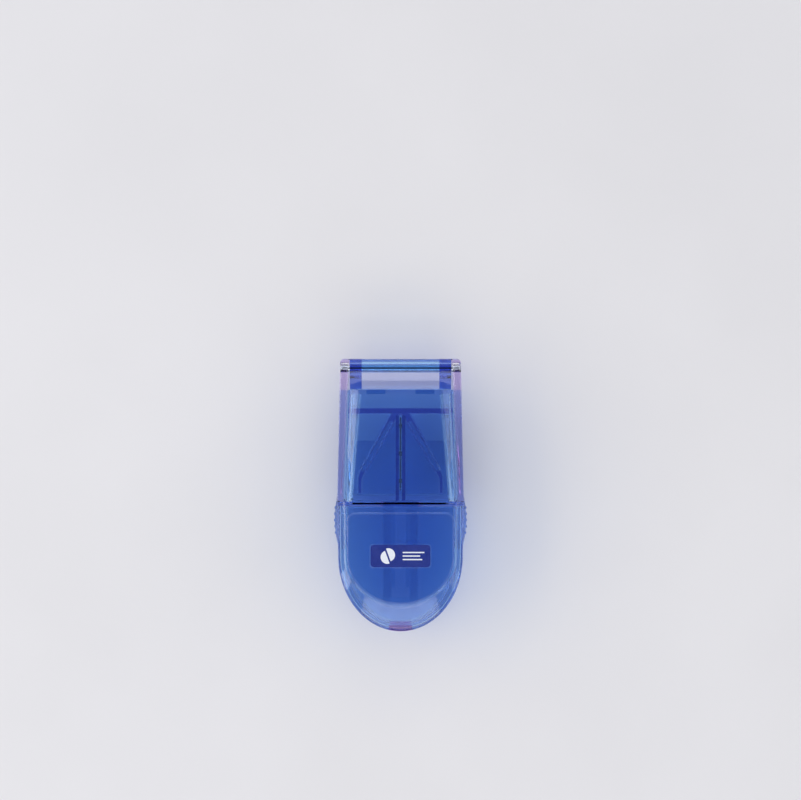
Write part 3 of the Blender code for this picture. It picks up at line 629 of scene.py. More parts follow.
baseSet = {
    "footEase": 0.5 * mm,
    "partition": 1.2 * mm,      # behind the drawer
    "rearWall": 1.8 * mm,
    "rearWallTop": hingeZ - barrelRadius - 0.5 * mm,
    "bayCorner": 3.3 * mm,      # round the drawer's lower rear edge
    "boreRadius": 1.2 * mm,
    "edge": 0.12 * mm,
    "wallBevel": 0.45 * mm,
    "wallBevelDepth": 0.26 * mm,
    "seatRib": 0.8 * mm,        # these hold the ends of the holder's cross wall
    "crossWall": 1.7 * mm,
    # the drawer's rail: a stem with a wider head, and a stop at its front
    "railRear": noseStart - 3.0 * mm,
    "railFront": frontEnd + 9.1 * mm,
    "stemHalf": 1.6 * mm,
    "stemHeight": 1.4 * mm,
    "headHalf": 4.8 * mm,
    "head": 1.0 * mm,
    "stopLength": 3.0 * mm,
    "stopReach": 1.0 * mm,
    # round marks that the mould's pins leave in the floor
    "ejectorRadius": 1.3 * mm,
    "ejectorDepth": 0.1 * mm,
    "ejectorPlaces": ((-11, 29), (11, 29), (-11, 8), (11, 8), (-9, -12), (9, -12)),     # in mm
    "spaceCorner": 0.8 * mm,
    "stopCorner": 0.4 * mm,
    "headCorner": 0.6 * mm,
    "ribCorner": 0.2 * mm,
}
railTop = floorTop + baseSet["stemHeight"] + baseSet["head"]


def alongSide(name, profile):
    # a cutter as wide as the whole splitter
    return slabSolid(name, profile, -farOut / 2, farOut / 2, along="X")


def makeBase():
    foot = baseSet["footEase"]
    levels = [(0, foot, 0), (0, 0, 0), (gripSet["foot"] - gripSet["fade"], 0, 0),
              (gripSet["foot"], 0, 1), (gripSet["head"], 0, 1),
              (gripSet["head"] + gripSet["fade"], 0, 0), (wallTop - baseSet["wallBevelDepth"], 0, 0),
              (wallTop, baseSet["wallBevel"], 0)]
    loops = [atHeight(bodyOutline(inset, swell), z) for z, inset, swell in levels]
    radii = [foot, *[gripSet["ease"]] * 4, 0]
    base = loftSolid("baseMoulding", softened(loops, radii, steps=4))

    # the hollow behind the partition
    front = jointY + baseSet["partition"]
    rear = rearEnd - baseSet["rearWall"]
    rearSpace = roundedOutline(
        [(innerSide(front), front), (innerSide(rear), rear),
         (-innerSide(rear), rear), (-innerSide(front), front)], baseSet["spaceCorner"], steps=6)
    cutAway(base, bevelledSlab("rearSpace", rearSpace, floorTop, wallTop, -baseSet["wallBevel"],
                               baseSet["wallBevelDepth"]))

    # the drawer's bay, the round ears, the low rear wall and partition, and the pin's bore
    corner = baseSet["bayCorner"]
    bay = [(-farOut, farOut), (jointY, farOut),
           *arcPoints((jointY - corner, floorTop + corner), corner, 0, -90, steps=14), (-farOut, floorTop)]
    earTop = [(hingeY, farOut), *arcPoints((hingeY, hingeZ), barrelRadius, 90, 0, steps=20),
              (farOut, hingeZ), (farOut, farOut)]
    half = innerSide(jointY)
    cutAway(
        base,
        alongSide("drawerBay", bay),
        alongSide("earTop", earTop),
        boxSolid("rearNotch", (-earInnerHalf, earInnerHalf),
                 (rearEnd - 3 * baseSet["rearWall"], farOut), (baseSet["rearWallTop"], farOut)),
        boxSolid("overPartition", (-half, half), (jointY - mm, jointY + 2 * baseSet["partition"]),
                 (drawerRim, farOut)),
        roundRod("bore", baseSet["boreRadius"], (-farOut / 2, hingeY, hingeZ), farOut, "X"),
    )
    easeEdges(base, baseSet["edge"])

    # the rail and the ribs stand on the floor, sunk into it
    stemTop = floorTop + baseSet["stemHeight"]
    stopHalf = baseSet["stemHalf"] + baseSet["stopReach"]
    start, end = baseSet["railRear"], baseSet["railFront"]
    sunk = floorTop / 2
    adds = [
        boxSolid("railStem", (-baseSet["stemHalf"], baseSet["stemHalf"]), (end, start),
                 (sunk, stemTop + baseSet["head"] / 2)),
        boxSolid("railStop", (-stopHalf, stopHalf), (end, end + baseSet["stopLength"]),
                 (sunk, stemTop + baseSet["head"] / 2), baseSet["stopCorner"]),
        boxSolid("railHead", (-baseSet["headHalf"], baseSet["headHalf"]), (end, start),
                 (stemTop, railTop), baseSet["headCorner"]),
    ]
    crossMiddle = holderHigh.y - baseSet["crossWall"] / 2
    rib = baseSet["seatRib"]
    for sign in (-1, 1):
        for place in (-1, 1):
            y = crossMiddle + place * (baseSet["crossWall"] / 2 + gap + rib / 2)
            reach = (sign * (innerSide(y) + planSet["waistWall"] / 2), sign * (innerSide(y) - rib))
            adds.append(boxSolid(f"seatRib{sign}{place}", reach, (y - rib / 2, y + rib / 2),
                                 (sunk, holderHigh.z), baseSet["ribCorner"]))
    joinOn(base, *adds)

    marks = []
    for i, (x, y) in enumerate(baseSet["ejectorPlaces"]):
        marks.append(roundRod(f"ejector{i}", baseSet["ejectorRadius"],
                              (x * mm, y * mm, floorTop - baseSet["ejectorDepth"]), mm, steps=32))
    cutAway(base, *marks)
    half = baseSet["headHalf"] + gap
    # behind the lid's step the floor takes the pale tint. This is painted light for the glare that the step
    # blocks, as the floor is no thinner there. The rail is paler too
    behind = (None, (roofRear, rearEnd + mm), None)
    rail = ((-half, half), (end - gap, start + gap), (floorTop + gap, railTop + gap))
    plastic = clearPlastic("clearBasePlastic", baseLook, [(behind, "thin"), (rail, "thin")])
    finishPiece(base, "base", plastic, ["base_shell"])


holderSet = {
    "platformTop": 5.6 * mm,
    "platform": 1.3 * mm,
    "platformLength": 15.5 * mm,
    "mouthHalf": 10.8 * mm,     # half the width of the V at its open end
    "cheekLength": 4.6 * mm,    # straight walls in front of the V
    "arm": 2.4 * mm,
    "groove": 0.8 * mm,         # along the middle of each arm
    "grooveDepth": 4.0 * mm,
    "cheekArm": 1.8 * mm,
    "slot": 1.5 * mm,           # for the blade
    "bevel": 0.62 * mm,
    "bevelDepth": 0.36 * mm,
    "edge": 0.1 * mm,
    "hollowCorner": 1.2 * mm,
    "mouthCorner": 1.0 * mm,
    "cheekCorner": 1.6 * mm,
    "grooveCorner": 0.35 * mm,
    "slotCorner": 0.5 * mm,
    "zoneMargin": 0.04 * mm,
}


def makeHolder():
    front = holderLow.y
    top = holderHigh.z
    cross = baseSet["crossWall"]
    crossRear = holderHigh.y
    apex = crossRear - cross
    shoulder = front + holderSet["platformLength"]
    mouth = front + holderSet["cheekLength"]
    angle = math.atan(holderSet["mouthHalf"] / (apex - mouth))
    across = holderSet["arm"] / math.cos(angle)
    platform = holderSet["platform"]
    platformTop = holderSet["platformTop"]

    def atWall(y):
        return innerSide(y) - gap

    def vHalf(y):
        return (apex - y) * math.tan(angle)

    # a platform, hollow below
    half = [(atWall(front), front), (atWall(shoulder), shoulder),
            (vHalf(shoulder) + across, shoulder), (vHalf(apex) + across, apex + cross / 2)]
    outline = half + [(-x, y) for x, y in reversed(half)]
    holder = slabSolid("pillHolder", outline, holderLow.z, platformTop)
    half = [(atWall(front) - platform, front + platform),
            (atWall(shoulder) - platform, shoulder - platform)]
    hollow = half + [(-x, y) for x, y in reversed(half)]
    hollow = roundedOutline(hollow, holderSet["hollowCorner"], steps=5)
    cutAway(holder, slabSolid("underPlatform", hollow, 0, platformTop - platform))

    # the cross wall, and the V's arms with their grooves
    crossHalf = atWall(crossRear)
    crossOutline = [(-crossHalf, apex), (crossHalf, apex), (crossHalf, crossRear), (-crossHalf, crossRear)]
    bevel, bevelDepth = holderSet["bevel"], holderSet["bevelDepth"]
    joinOn(holder, bevelledSlab("crossWall", crossOutline, holderLow.z, top, bevel / 2, bevelDepth / 2))
    low = platformTop - platform / 2
    mouthHalf = holderSet["mouthHalf"]
    cheekArm = holderSet["cheekArm"]
    wide = holderSet["groove"] / math.cos(angle)
    inset = (across - wide) / 2
    grooveTop = apex - holderSet["arm"]
    grooveEnd = mouth + holderSet["arm"]
    grooves = []
    for sign in (-1, 1):
        arm = [(0.0, apex), (mouthHalf, mouth), (mouthHalf, front), (mouthHalf + cheekArm, front),
               (mouthHalf + cheekArm, mouth + holderSet["arm"] / 2),
               (vHalf(apex) + across, apex + cross / 2), (0.0, apex + cross / 2)]
        radii = [0, holderSet["mouthCorner"], 0, 0, holderSet["cheekCorner"], 0, 0]
        arm = roundedOutline([(sign * x, y) for x, y in arm], radii, steps=6)
        joinOn(holder, bevelledSlab(f"arm{sign}", arm, low, top, bevel, bevelDepth))
        core = [(vHalf(grooveTop) + inset, grooveTop), (vHalf(grooveEnd) + inset, grooveEnd),
                (vHalf(grooveEnd) + inset + wide, grooveEnd), (vHalf(grooveTop) + inset + wide, grooveTop)]
        core = roundedOutline([(sign * x, y) for x, y in core], holderSet["grooveCorner"], steps=5)
        grooves.append(bevelledSlab(f"groove{sign}", core, top - holderSet["grooveDepth"], top,
                                    -bevel / 2, bevelDepth / 2))
    slotHalf = holderSet["slot"] / 2
    grooves.append(boxSolid("bladeSlot", (-slotHalf, slotHalf),
                            (bladeLow.y - 2 * gap, bladeHigh.y + 2 * gap), (0, farOut),
                            holderSet["slotCorner"]))
    cutAway(holder, *grooves)
    easeEdges(holder, holderSet["edge"], steps=3)
    margin = holderSet["zoneMargin"]
    # the bevel band round the top is left untinted, as a painted highlight along the arms' edges
    zones = [((None, (apex - margin, crossRear + margin), None), "crossWall"),
             ((None, None, (top - margin, top + mm)), "arm"),
             ((None, None, (top - bevelDepth + margin, top - 2 * margin)), "bevel")]
    plastic = clearPlastic("clearHolderPlastic", holderLook, zones)
    finishPiece(holder, "base", plastic, ["pill_holder"])


drawerSet = {
    "wall": 1.5 * mm,
    "floor": 1.2 * mm,
    "footEase": 0.45 * mm,
    "rimEase": 0.35 * mm,
    "insideCorner": 1.8 * mm,
    "runner": 1.0 * mm,
    "lip": 0.8 * mm,            # reaches under the rail's head
    "ledgeHalf": 3.0 * mm,
    "ledge": 2.3 * mm,          # for the thumb
    "ledgeInset": 0.15 * mm,
    "ledgeDrop": 0.4 * mm,
    "lowSwell": 0.01,           # share of the grips' swell at the foot
    "lowEase": 0.4 * mm,
}


def frontAt(x, inset):
    share = x / (planSet["noseHalf"] - inset)
    return noseCentre - (planSet["noseLength"] - inset) * math.sqrt(1 - share ** 2)


def frontPatch(half, outer, inner, steps=16):
    # the middle of the front wall in plan, between two depths
    places = [between(-half, half, i / steps) for i in range(steps + 1)]
    return [(x, frontAt(x, outer)) for x in places] + [(x, frontAt(x, inner)) for x in reversed(places)]


def makeDrawer():
    bottom = drawerLow.z
    foot, rim, wall = drawerSet["footEase"], drawerSet["rimEase"], drawerSet["wall"]
    levels = [(bottom, foot, 0), (bottom, 0, drawerSet["lowSwell"]), (gripSet["foot"], 0, 1),
              (drawerRim, 0, 1), (drawerRim, 2 * rim, 1)]
    loops = [atHeight(noseOutline(inset, noseStart - inset, swell), z) for z, inset, swell in levels]
    drawer = loftSolid("drawerMoulding", softened(loops, [foot, drawerSet["lowEase"], rim], steps=4))

    # the hollow above the floor, then room for the rail below it
    floorLevel = railTop + gap + drawerSet["floor"]
    storeStart = noseStart - wall
    corner = drawerSet["insideCorner"]
    store = [
        atHeight(noseOutline(wall + corner, storeStart - corner), floorLevel),
        atHeight(noseOutline(wall, storeStart), floorLevel),
        atHeight(noseOutline(wall, storeStart), farOut),
    ]
    cutAway(drawer, loftSolid("store", softened(store, [corner], steps=8)))
    under = noseOutline(wall, storeStart - baseSet["bayCorner"])
    railHalf = baseSet["headHalf"] + gap
    cutAway(
        drawer,
        slabSolid("under", under, 0, railTop + gap),
        boxSolid("railWay", (-railHalf, railHalf),
                 (noseStart - 3 * baseSet["bayCorner"], noseStart + mm), (0, railTop + gap)),
    )

    # runners beside the rail's head, with lips under it that the stop holds back
    runnerStart = noseStart - wall / 2
    runnerEnd = frontEnd + 3 * wall
    stopEnd = runnerStart - baseSet["stopLength"]
    lipInner = baseSet["stemHalf"] + baseSet["stopReach"] + gap
    lipStop = baseSet["stemHalf"] + gap
    lipOuter = railHalf + drawerSet["runner"] / 2
    adds = []
    for sign in (-1, 1):
        lip = [(lipOuter, runnerStart), (lipStop, runnerStart), (lipStop, stopEnd), (lipInner, stopEnd),
               (lipInner, runnerEnd), (lipOuter, runnerEnd)]
        lip = [(sign * x, y) for x, y in lip]
        adds.append(slabSolid(f"lip{sign}", lip, bottom, bottom + drawerSet["lip"]))
        adds.append(boxSolid(f"runner{sign}", (sign * railHalf, sign * (railHalf + drawerSet["runner"])),
                             (runnerEnd + gap, runnerStart - gap),
                             (bottom + drawerSet["lip"] / 2, railTop + 2 * gap)))
    adds += gripRibs("drawer", bottom + gripSet["fade"], drawerRim - gap)
    ledge = frontPatch(drawerSet["ledgeHalf"], drawerSet["ledgeInset"], drawerSet["ledge"])
    adds.append(slabSolid("ledge", ledge, floorLevel - drawerSet["floor"] / 2,
                          drawerRim - drawerSet["ledgeDrop"]))
    joinOn(drawer, *adds)

    radius = baseSet["bayCorner"] - gap
    edge = [*arcPoints((noseStart - radius, bottom + radius), radius, 0, -90, steps=14),
            (noseStart - radius, bottom - mm), (noseStart + mm, bottom - mm),
            (noseStart + mm, bottom + radius)]
    cutAway(drawer, alongSide("drawerRearEdge", edge))
    half = drawerSet["ledgeHalf"]
    front = frontEnd + drawerSet["ledge"] + drawerSet["ledgeInset"]
    low = (None, None, (-mm, railTop + gap))
    thumbLedge = ((-half, half), (frontEnd - mm, front), (floorLevel + gap, drawerRim))
    plastic = clearPlastic("clearDrawerPlastic", drawerLook, [(low, "thin"), (thumbLedge, "thumb")])
    finishPiece(drawer, "drawer", plastic, ["storage_drawer"])


lidSet = {
    "wall": 1.7 * mm,
    "noseWall": 1.1 * mm,
    "roof": 1.5 * mm,
    "skirt": 1.3 * mm,
    "skirtDepth": 3.0 * mm,
    "ceilingInset": 0.4,        # share of the wall's thickness
    "roofRise": 1.8 * mm,
    "slopeAtStep": 3.2 * mm,    # width of the sloping sides
    "slopeAtJoint": 1.9 * mm,
    "stepWall": 1.2 * mm,
    "deckTilt": math.radians(20),
    "coverSunk": 0.1 * mm,
    "barrelWall": 1.3 * mm,
    "knuckleLength": 3.4 * mm,
    "knuckleArcEnd": -165,      # degrees
    "windowLength": 5.4 * mm,
    "windowHeight": 1.2 * mm,
    "windowSill": 0.5 * mm,
    "windowOffset": 7.0 * mm,
    "rimDrop": 1.5 * mm,        # of the nose's wall, towards its tip
    "noseSideSlope": 2.2 * mm,
    "noseFrontSlope": 7.7 * mm,
    "jointRib": 1.2 * mm,       # wall between the two hollows
    "ribLap": 0.1 * mm,
    "notchHalf": 3.3 * mm,
    "notchHeight": 3.3 * mm,
    "ridgeEase": 0.7 * mm,
    "insideEase": 0.6,          # share of the ridge's
    "rimEase": 0.3 * mm,
    "edge": 0.15 * mm,
    "zoneMargin": 0.03 * mm,
}
panelSet = {
    "setback": 2.85 * mm,
    "margin": 0.35 * mm,
    "corner": 2.3 * mm,
    "rise": 1.2 * mm,
    "fall": 1.1 * mm,           # from the panel's rear to its front
    "bevel": 0.65 * mm,
    "bevelDepth": 0.375 * mm,
    "ease": 0.1 * mm,
}
roofTop = wallTop + lidSet["roofRise"]
skirtBottom = wallTop - lidSet["skirtDepth"]
noseRoofHalf = planSet["noseHalf"] - lidSet["noseSideSlope"]
noseRoofLength = planSet["noseLength"] - lidSet["noseFrontSlope"]
panelRear = noseStart - panelSet["setback"]
panelHalf = noseRoofHalf - panelSet["margin"]
panelLength = noseRoofLength - panelSet["margin"]
panelSlope = panelSet["fall"] / (panelRear - noseCentre + panelLength)


def roofHalf(y):
    share = (y - jointY) / (roofRear - jointY)
    return innerSide(y) - gap - between(lidSet["slopeAtJoint"], lidSet["slopeAtStep"], share)


def rearLidBody(name, inset, low, drop, front, rear, ease):
    # upright skirts, then sloping sides up to the roof; the last loop lets the ridge be rounded
    ceiling = inset * lidSet["ceilingInset"]
    steps = 12
    widths = [
        (low, lambda y: innerSide(y) - gap - inset),
        (wallTop - drop, lambda y: innerSide(y) - gap - inset),
        (roofTop - drop, lambda y: roofHalf(y) - ceiling),
        (roofTop - drop, lambda y: roofHalf(y) - ceiling - 2 * ease),
    ]
    places = [between(front, rear, i / steps) for i in range(steps + 1)]
    loops = []
    for z, width in widths:
        right = [(width(y), y) for y in places]
        loops.append(atHeight(right + [(-x, y) for x, y in reversed(right)], z))
    return loftSolid(name, softened(loops, [ease, ease], steps=6))


def noseRoofOutline(inset):
    points = []
    for x, y in noseOutline():
        if y > noseCentre:
            points.append((math.copysign(noseRoofHalf - inset, x), y))
        else:
            share = (noseCentre - y) / planSet["noseLength"]
            points.append((x * (noseRoofHalf - inset) / planSet["noseHalf"],
                           noseCentre - (noseRoofLength - inset) * share))
    return points


def rimHeight(y):
    share = max(0.0, (noseCentre - y) / planSet["noseLength"])
    return between(wallTop, wallTop - lidSet["rimDrop"], share ** 2)


def noseLidBody(name, inset, drop, start, low, ease):
    # upright wall, with the grips on the outside only, then sloping shoulder and flat roof
    edge = noseOutline(inset, start)
    if inset:
        loops = [atHeight(edge, low)]
        radii = []
    else:
        rim, swollen = lidSet["rimEase"], noseOutline(0, start, 1.0)
        loops = [atHeight(noseOutline(rim, start, 1.0), low), atHeight(swollen, low),
                 atHeight(swollen, gripSet["head"]), atHeight(edge, gripSet["head"] + gripSet["fade"])]
        radii = [rim, gripSet["ease"], gripSet["ease"]]
    loops.append([Vector((x, y, rimHeight(y) - drop)) for x, y in edge])
    for extra in (0.0, 1.6 * ease):
        roof = noseRoofOutline(inset * lidSet["ceilingInset"] + extra)
        loops.append(atHeight([(x, min(y, start)) for x, y in roof], roofTop - drop))
    return loftSolid(name, softened(loops, radii + [ease, ease], steps=6))


def panelTop(y):
    return roofTop + panelSet["rise"] - panelSlope * (panelRear - y)


def panelOutline(inset):
    corner = panelSet["corner"]
    right = arcPoints((panelHalf - corner, panelRear - corner), corner - inset, 90, 0, steps=12)
    steps = planSet["noseSteps"]
    for i in range(steps):
        a = math.pi / 2 * i / steps
        right.append(((panelHalf - inset) * math.cos(a), noseCentre - (panelLength - inset) * math.sin(a)))
    return right + [(0.0, noseCentre - panelLength + inset)] + [(-x, y) for x, y in reversed(right)]


def raisedPanel():
    ease = panelSet["ease"]
    loops = [atHeight(panelOutline(0), roofTop - lidSet["roof"] / 2)]
    for inset, drop in ((0, panelSet["bevelDepth"]), (panelSet["bevel"], 0)):
        loops.append([Vector((x, y, panelTop(y) - drop)) for x, y in panelOutline(inset)])
    return loftSolid("raisedPanel", softened(loops, [ease], steps=3))


def deckHeight(y, radius):
    rise = (hingeY - y) * math.tan(lidSet["deckTilt"])
    return hingeZ + radius / math.cos(lidSet["deckTilt"]) - rise


def hingeCover():
    half = earInnerHalf - gap
    front = roofRear - lidSet["stepWall"] / 2
    axis = (hingeY, hingeZ)
    start = 90 + math.degrees(lidSet["deckTilt"])
    radius = barrelRadius - lidSet["coverSunk"]
    inner = radius - lidSet["barrelWall"]
    profile = [(front, deckHeight(front, inner)), (front, deckHeight(front, radius)),
               *arcPoints(axis, radius, start, 0, steps=24), *arcPoints(axis, inner, 0, start, steps=24)]
    inside = half - lidSet["knuckleLength"] / 2
    pieces = [slabSolid("cover", profile, -inside, inside, along="X")]
    knuckle = [(front, skirtBottom + gap), (front, deckHeight(front, barrelRadius)),
               *arcPoints(axis, barrelRadius, start, lidSet["knuckleArcEnd"], steps=56)]
    for sign in (-1, 1):
        reach = sorted((sign * (half - lidSet["knuckleLength"]), sign * half))
        pieces.append(slabSolid(f"knuckle{sign}", knuckle, *reach, along="X"))
    return pieces


def makeLid():
    ridge, roof = lidSet["ridgeEase"], lidSet["roof"]
    inside = lidSet["insideEase"] * ridge
    lid = rearLidBody("lidMoulding", 0, skirtBottom, 0, noseStart - lidSet["jointRib"] / 2, roofRear, ridge)
    joinOn(lid, noseLidBody("lidNose", 0, 0, noseStart, lidBottom, ridge), raisedPanel())
    joinOn(lid, *gripRibs("lid", lidBottom + gap, gripSet["head"]))
    cutAway(
        lid,
        rearLidBody("lidRearSpace", lidSet["skirt"], 0, roof, noseStart + lidSet["ribLap"],
                    roofRear - lidSet["stepWall"], inside),
        noseLidBody("lidNoseSpace", lidSet["noseWall"], roof, noseStart - lidSet["jointRib"], 0, inside),
    )
    joinOn(lid, *hingeCover())

    # the bore, two windows in the step, the thumb's notch and the label's recess
    sill = deckHeight(roofRear, barrelRadius) + lidSet["windowSill"]
    tools = [roundRod("lidBore", baseSet["boreRadius"], (-farOut / 2, hingeY, hingeZ), farOut, "X")]
    for sign in (-1, 1):
        middle = sign * lidSet["windowOffset"]
        half = lidSet["windowLength"] / 2
        tools.append(boxSolid(f"window{sign}", (middle - half, middle + half),
                              (roofRear - 2 * lidSet["stepWall"], roofRear + mm),
                              (sill, sill + lidSet["windowHeight"])))
    notch = frontPatch(lidSet["notchHalf"], -mm, lidSet["wall"] + gap)
    tools.append(slabSolid("thumbNotch", notch, lidBottom - mm, lidBottom + lidSet["notchHeight"]))
    tools.append(labelBlock("labelRecess", gap, labelSet["recess"], -mm))
    cutAway(lid, *tools)
    easeEdges(lid, lidSet["edge"], angle=50)

    half = earInnerHalf - gap - lidSet["knuckleLength"]
    behind = (roofRear + gap, rearEnd + mm)
    overPin = (hingeY - baseSet["boreRadius"], rearEnd + mm)
    thumb = (frontEnd - mm, frontEnd + lidSet["wall"] + gap)
    margin = lidSet["zoneMargin"]
    bevelLow, bevelHigh = panelTop(0) - panelSet["bevelDepth"] - margin, panelTop(0) - margin
    # the knuckles are darker for their thicker plastic; between them the deck is paler, partly thinner
    # plastic and partly painted light for the front lamps' glare that the step blocks
    zones = [((None, behind, None), "thick"),
             (((-half, half), behind, None), "thin"),
             (((-half, half), overPin, None), "cover"),
             (((-lidSet["notchHalf"], lidSet["notchHalf"]), thumb, (lidBottom - mm, wallTop)), "thumb"),
             # the panel's bevel band is left untinted, as a painted highlight round the panel's edge
             (((-panelHalf, panelHalf), (frontEnd, panelRear + gap), (bevelLow, bevelHigh)), "bevel",
              panelSlope)]
    plastic = clearPlastic("clearLidPlastic", clearSet, zones)
    finishPiece(lid, "lid", plastic, ["lid_shell"])


# the label, with a plain mark of a halved tablet
labelSet = {
    "width": 17.0 * mm,
    "length": 6.4 * mm,
    "centreY": (labelLow.y + labelHigh.y) / 2,
    "recess": 0.35 * mm,
    "thickness": 0.3 * mm,
    "corner": 1.0 * mm,
    "tabletRadius": 1.9 * mm,
    "tabletSplit": 0.5 * mm,
    "tabletShift": 0.25 * mm,       # of each half along the split
    "tabletX": -3.6 * mm,
    "tabletLean": math.radians(20),
    "barStart": 0.6 * mm,
    "barEnds": (6.8 * mm, 5.6 * mm, 6.2 * mm),
    "barPitch": 1.0 * mm,
    "barHalf": 0.18 * mm,
    "barCorner": 0.16 * mm,
    "inkHeight": 0.04 * mm,
    "inkSunk": 0.02 * mm,
    "filmEase": 0.06 * mm,
}
labelBottom = labelSet["recess"] - gap / 2      # depths below the panel's top
labelTop = labelBottom - labelSet["thickness"]


def labelBlock(name, margin, depth, top):
    halfWidth = labelSet["width"] / 2 + margin
    halfLength = labelSet["length"] / 2 + margin
    corner = labelSet["corner"]
    outline = []
    for signX, signY, start in ((1, 1, 0), (-1, 1, 90), (-1, -1, 180), (1, -1, 270)):
        centre = (signX * (halfWidth - corner), labelSet["centreY"] + signY * (halfLength - corner))
        outline += arcPoints(centre, corner, start, start + 90, steps=8)
    loops = [[Vector((x, y, panelTop(y) - d)) for x, y in outline] for d in (depth, top)]
    return loftSolid(name, loops)


def inkOnLabel(name, outline):
    # a thin layer of ink on the film
    levels = (labelTop + labelSet["inkSunk"], labelTop - labelSet["inkHeight"])
    loops = [[Vector((x, y, panelTop(y) - d)) for x, y in outline] for d in levels]
    finishPiece(loftSolid(name, loops), "lid", whiteInk)


def makeLabel():
    film = labelBlock("lidLabel", 0, labelBottom, labelTop)
    easeEdges(film, labelSet["filmEase"])
    finishPiece(film, "lid", labelFilm, ["lid_label"])

    lean, split = labelSet["tabletLean"], labelSet["tabletSplit"] / 2
    for sign, hand in ((-1, "Left"), (1, "Right")):
        half = arcPoints((0, 0), labelSet["tabletRadius"], -90, 90, steps=24)
        half = [(sign * (x + split), y + sign * labelSet["tabletShift"]) for x, y in half]
        inkOnLabel(f"tabletHalf{hand}", [
            (labelSet["tabletX"] + x * math.cos(lean) - y * math.sin(lean),
             labelSet["centreY"] + x * math.sin(lean) + y * math.cos(lean)) for x, y in half])
    for i, x1 in enumerate(labelSet["barEnds"]):
        x0, y = labelSet["barStart"], labelSet["centreY"] + (1 - i) * labelSet["barPitch"]
        y0, y1 = y - labelSet["barHalf"], y + labelSet["barHalf"]
        bar = [(x0, y0), (x1, y0), (x1, y1), (x0, y1)]
        inkOnLabel(f"labelBar{i + 1}", roundedOutline(bar, labelSet["barCorner"]))


# the blade, its two cheeks and the pins
bladeSet = {
    "bevel": 1.3 * mm,
    "edgeWidth": 0.03 * mm,
    "ease": 0.05 * mm,
    "holeRadius": 0.8 * mm,
    "taper": 2.0 * mm,
    "cheekCorners": (0.5 * mm, 0.2 * mm, 0.2 * mm, 1.0 * mm, 1.0 * mm),
    "cheekEase": 0.14 * mm,
    "pinEase": 0.12 * mm,
    "hingePinEase": 0.3 * mm,
}


def pinBoxes():
    return {place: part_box(f"blade_pin_{place.lower()}") for place in ("Front", "Middle", "Rear")}


def pinHoles(owner, reach):
    holes = []
    for place, (low, high) in pinBoxes().items():
        middle = (low + high) / 2
        holes.append(roundRod(f"{owner}Hole{place}", bladeSet["holeRadius"], (-reach, middle.y, middle.z),
                              2 * reach, "X", steps=40))
    return holes


def makeBlade():
    x0, x1 = bladeLow.x, bladeHigh.x
    shoulder = bladeLow.z + bladeSet["bevel"]
    tip = bladeSet["edgeWidth"] / 2
    section = [(x0, bladeHigh.z), (x0, shoulder), (-tip, bladeLow.z), (tip, bladeLow.z),
               (x1, shoulder), (x1, bladeHigh.z)]
    loops = [[Vector((x, y, z)) for x, z in section] for y in (bladeLow.y, bladeHigh.y)]
    blade = loftSolid("cuttingBlade", loops)
    cutAway(blade, *pinHoles("blade", mm))
    easeEdges(blade, bladeSet["ease"], angle=30)
    finishPiece(blade, "lid", bladeSteel, ["blade"], sharp=20)


def makeCheeks():
    taper = bladeSet["taper"]
    y0, y1, z0, z1 = cheekLow.y, cheekHigh.y, cheekLow.z, cheekHigh.z
    profile = roundedOutline([(y1, z0), (y1, z1), (y0, z1), (y0, z0 + taper), (y0 + taper, z0)],
                             bladeSet["cheekCorners"], steps=5)
    for hand in ("left", "right"):
        low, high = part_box(f"blade_holder_{hand}")
        cheek = slabSolid(f"bladeCheek{hand.capitalize()}", profile, low.x, high.x, along="X")
        cutAway(cheek, *pinHoles("cheek", 2 * mm))
        easeEdges(cheek, bladeSet["cheekEase"])
        finishPiece(cheek, "lid", cheekPlastic, [f"blade_holder_{hand}"])


def makePin(name, body, node, ease):
    low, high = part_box(node)
    middle = (low + high) / 2
    pin = roundRod(name, (high.z - low.z) / 2, (low.x, middle.y, middle.z), high.x - low.x, "X", ease)
    finishPiece(pin, body, wireSteel, [node])


def makePins():
    for place in pinBoxes():
        makePin(f"bladePin{place}", "lid", f"blade_pin_{place.lower()}", bladeSet["pinEase"])
    makePin("hingePin", "base", "hinge_pin", bladeSet["hingePinEase"])


makeBase()
print("base ready")
makeHolder()
print("pill holder ready")
makeDrawer()
print("drawer ready")
makeLid()
print("lid ready")
makeLabel()
print("label ready")
makeBlade()
makeCheeks()
makePins()
print("blade and pins ready")


# floor and light
studioSet = {
    "floorColour": (0.75, 0.745, 0.765),
    "floorShade": 0.97,         # of its darker clouds
    "floorHalf": 3.0,           # metres
    "floorThickness": 0.02,
    "floorBelow": 0.01 * mm,    # the splitter
    "worldColour": (0.97, 0.97, 1.0),
    "skySides": 0.72,           # brightness of the room round the sides
    "skyTop": 0.2,              # and straight above
    "skyFade": (0.80, 0.97),    # from the one to the other, by the sine of the height above the horizon
    "aim": (0, 0, 0.01),
    # name: place, width, height, brightness, colour
    "boxes": {
        "leftBox": ((-1.15, 0.04, 0.58), 1.7, 0.55, 3.2, (1.0, 1.0, 1.0)),
        "rightBox": ((1.15, 0.04, 0.58), 1.7, 0.55, 1.1, (0.95, 0.97, 1.0)),
        "rearBox": ((0.0, 1.30, 0.75), 1.6, 0.45, 1.1, (1.0, 1.0, 1.0)),
        "frontLowBox": ((0.0, -1.20, 0.80), 1.5, 0.36, 2.2, (1.0, 1.0, 1.0)),
        "frontHighBox": ((0.0, -0.95, 1.15), 1.2, 0.30, 1.3, (1.0, 1.0, 1.0)),
    },
}


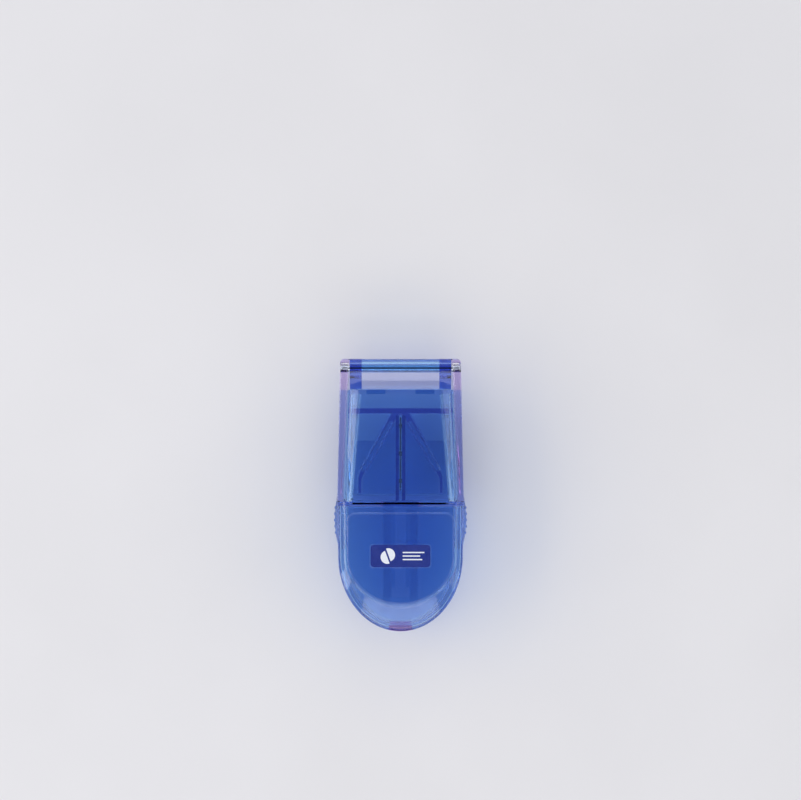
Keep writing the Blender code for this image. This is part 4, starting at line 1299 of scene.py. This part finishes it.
def makeFloor():
    colour = studioSet["floorColour"]
    paint = grainedFinish("floorPaint", {
        "metallic": 0.0,
        "colours": (tuple(c * studioSet["floorShade"] for c in colour), colour),
        "rough": (0.55, 0.7),
        "shade": (14, 3.0, 0.35, 0.65),
        "polish": (500, 3.0, 0.3, 0.7),
        "relief": (1500, 3.0, 0.01 * mm),
    })
    half = studioSet["floorHalf"]
    floor = boxSolid("floor", (-half, half), (-half, half),
                     (-studioSet["floorThickness"], -studioSet["floorBelow"]))
    floor.data.materials.append(paint)


def makeLights():
    world = bpy.data.worlds.new("softRoom")
    world.use_nodes = True
    tree = world.node_tree
    background = tree.nodes["Background"]
    background.inputs["Color"].default_value = (*studioSet["worldColour"], 1)
    heading = tree.nodes.new("ShaderNodeTexCoord")
    parts = tree.nodes.new("ShaderNodeSeparateXYZ")
    fade = tree.nodes.new("ShaderNodeMapRange")
    values = (*studioSet["skyFade"], studioSet["skySides"], studioSet["skyTop"])
    for socket, value in zip(("From Min", "From Max", "To Min", "To Max"), values):
        fade.inputs[socket].default_value = value
    tree.links.new(heading.outputs["Generated"], parts.inputs[0])
    tree.links.new(parts.outputs["Z"], fade.inputs["Value"])
    tree.links.new(fade.outputs["Result"], background.inputs["Strength"])
    bpy.context.scene.world = world
    target = Vector(studioSet["aim"])
    for name, (place, width, height, brightness, colour) in studioSet["boxes"].items():
        data = bpy.data.lights.new(name, "AREA")
        data.shape = "RECTANGLE"
        data.size = width
        data.size_y = height
        data.energy = brightness * math.pi * width * height
        data.color = colour
        lamp = bpy.data.objects.new(name, data)
        lamp.location = place
        lamp.rotation_euler = (target - Vector(place)).to_track_quat("-Z", "Y").to_euler()
        bpy.context.scene.collection.objects.link(lamp)


lightPaths = {
    "max_bounces": 40,          # many clear walls lie one behind the other
    "transmission_bounces": 40,
    "transparent_max_bounces": 40,
    "glossy_bounces": 8,
    "diffuse_bounces": 4,
    "caustics_reflective": False,
    "caustics_refractive": False,
}


def makeView():
    scene = bpy.context.scene
    scene.view_settings.view_transform = "Standard"
    for name, value in lightPaths.items():
        setattr(scene.cycles, name, value)


makeFloor()
makeLights()
makeView()
print("floor and light ready")
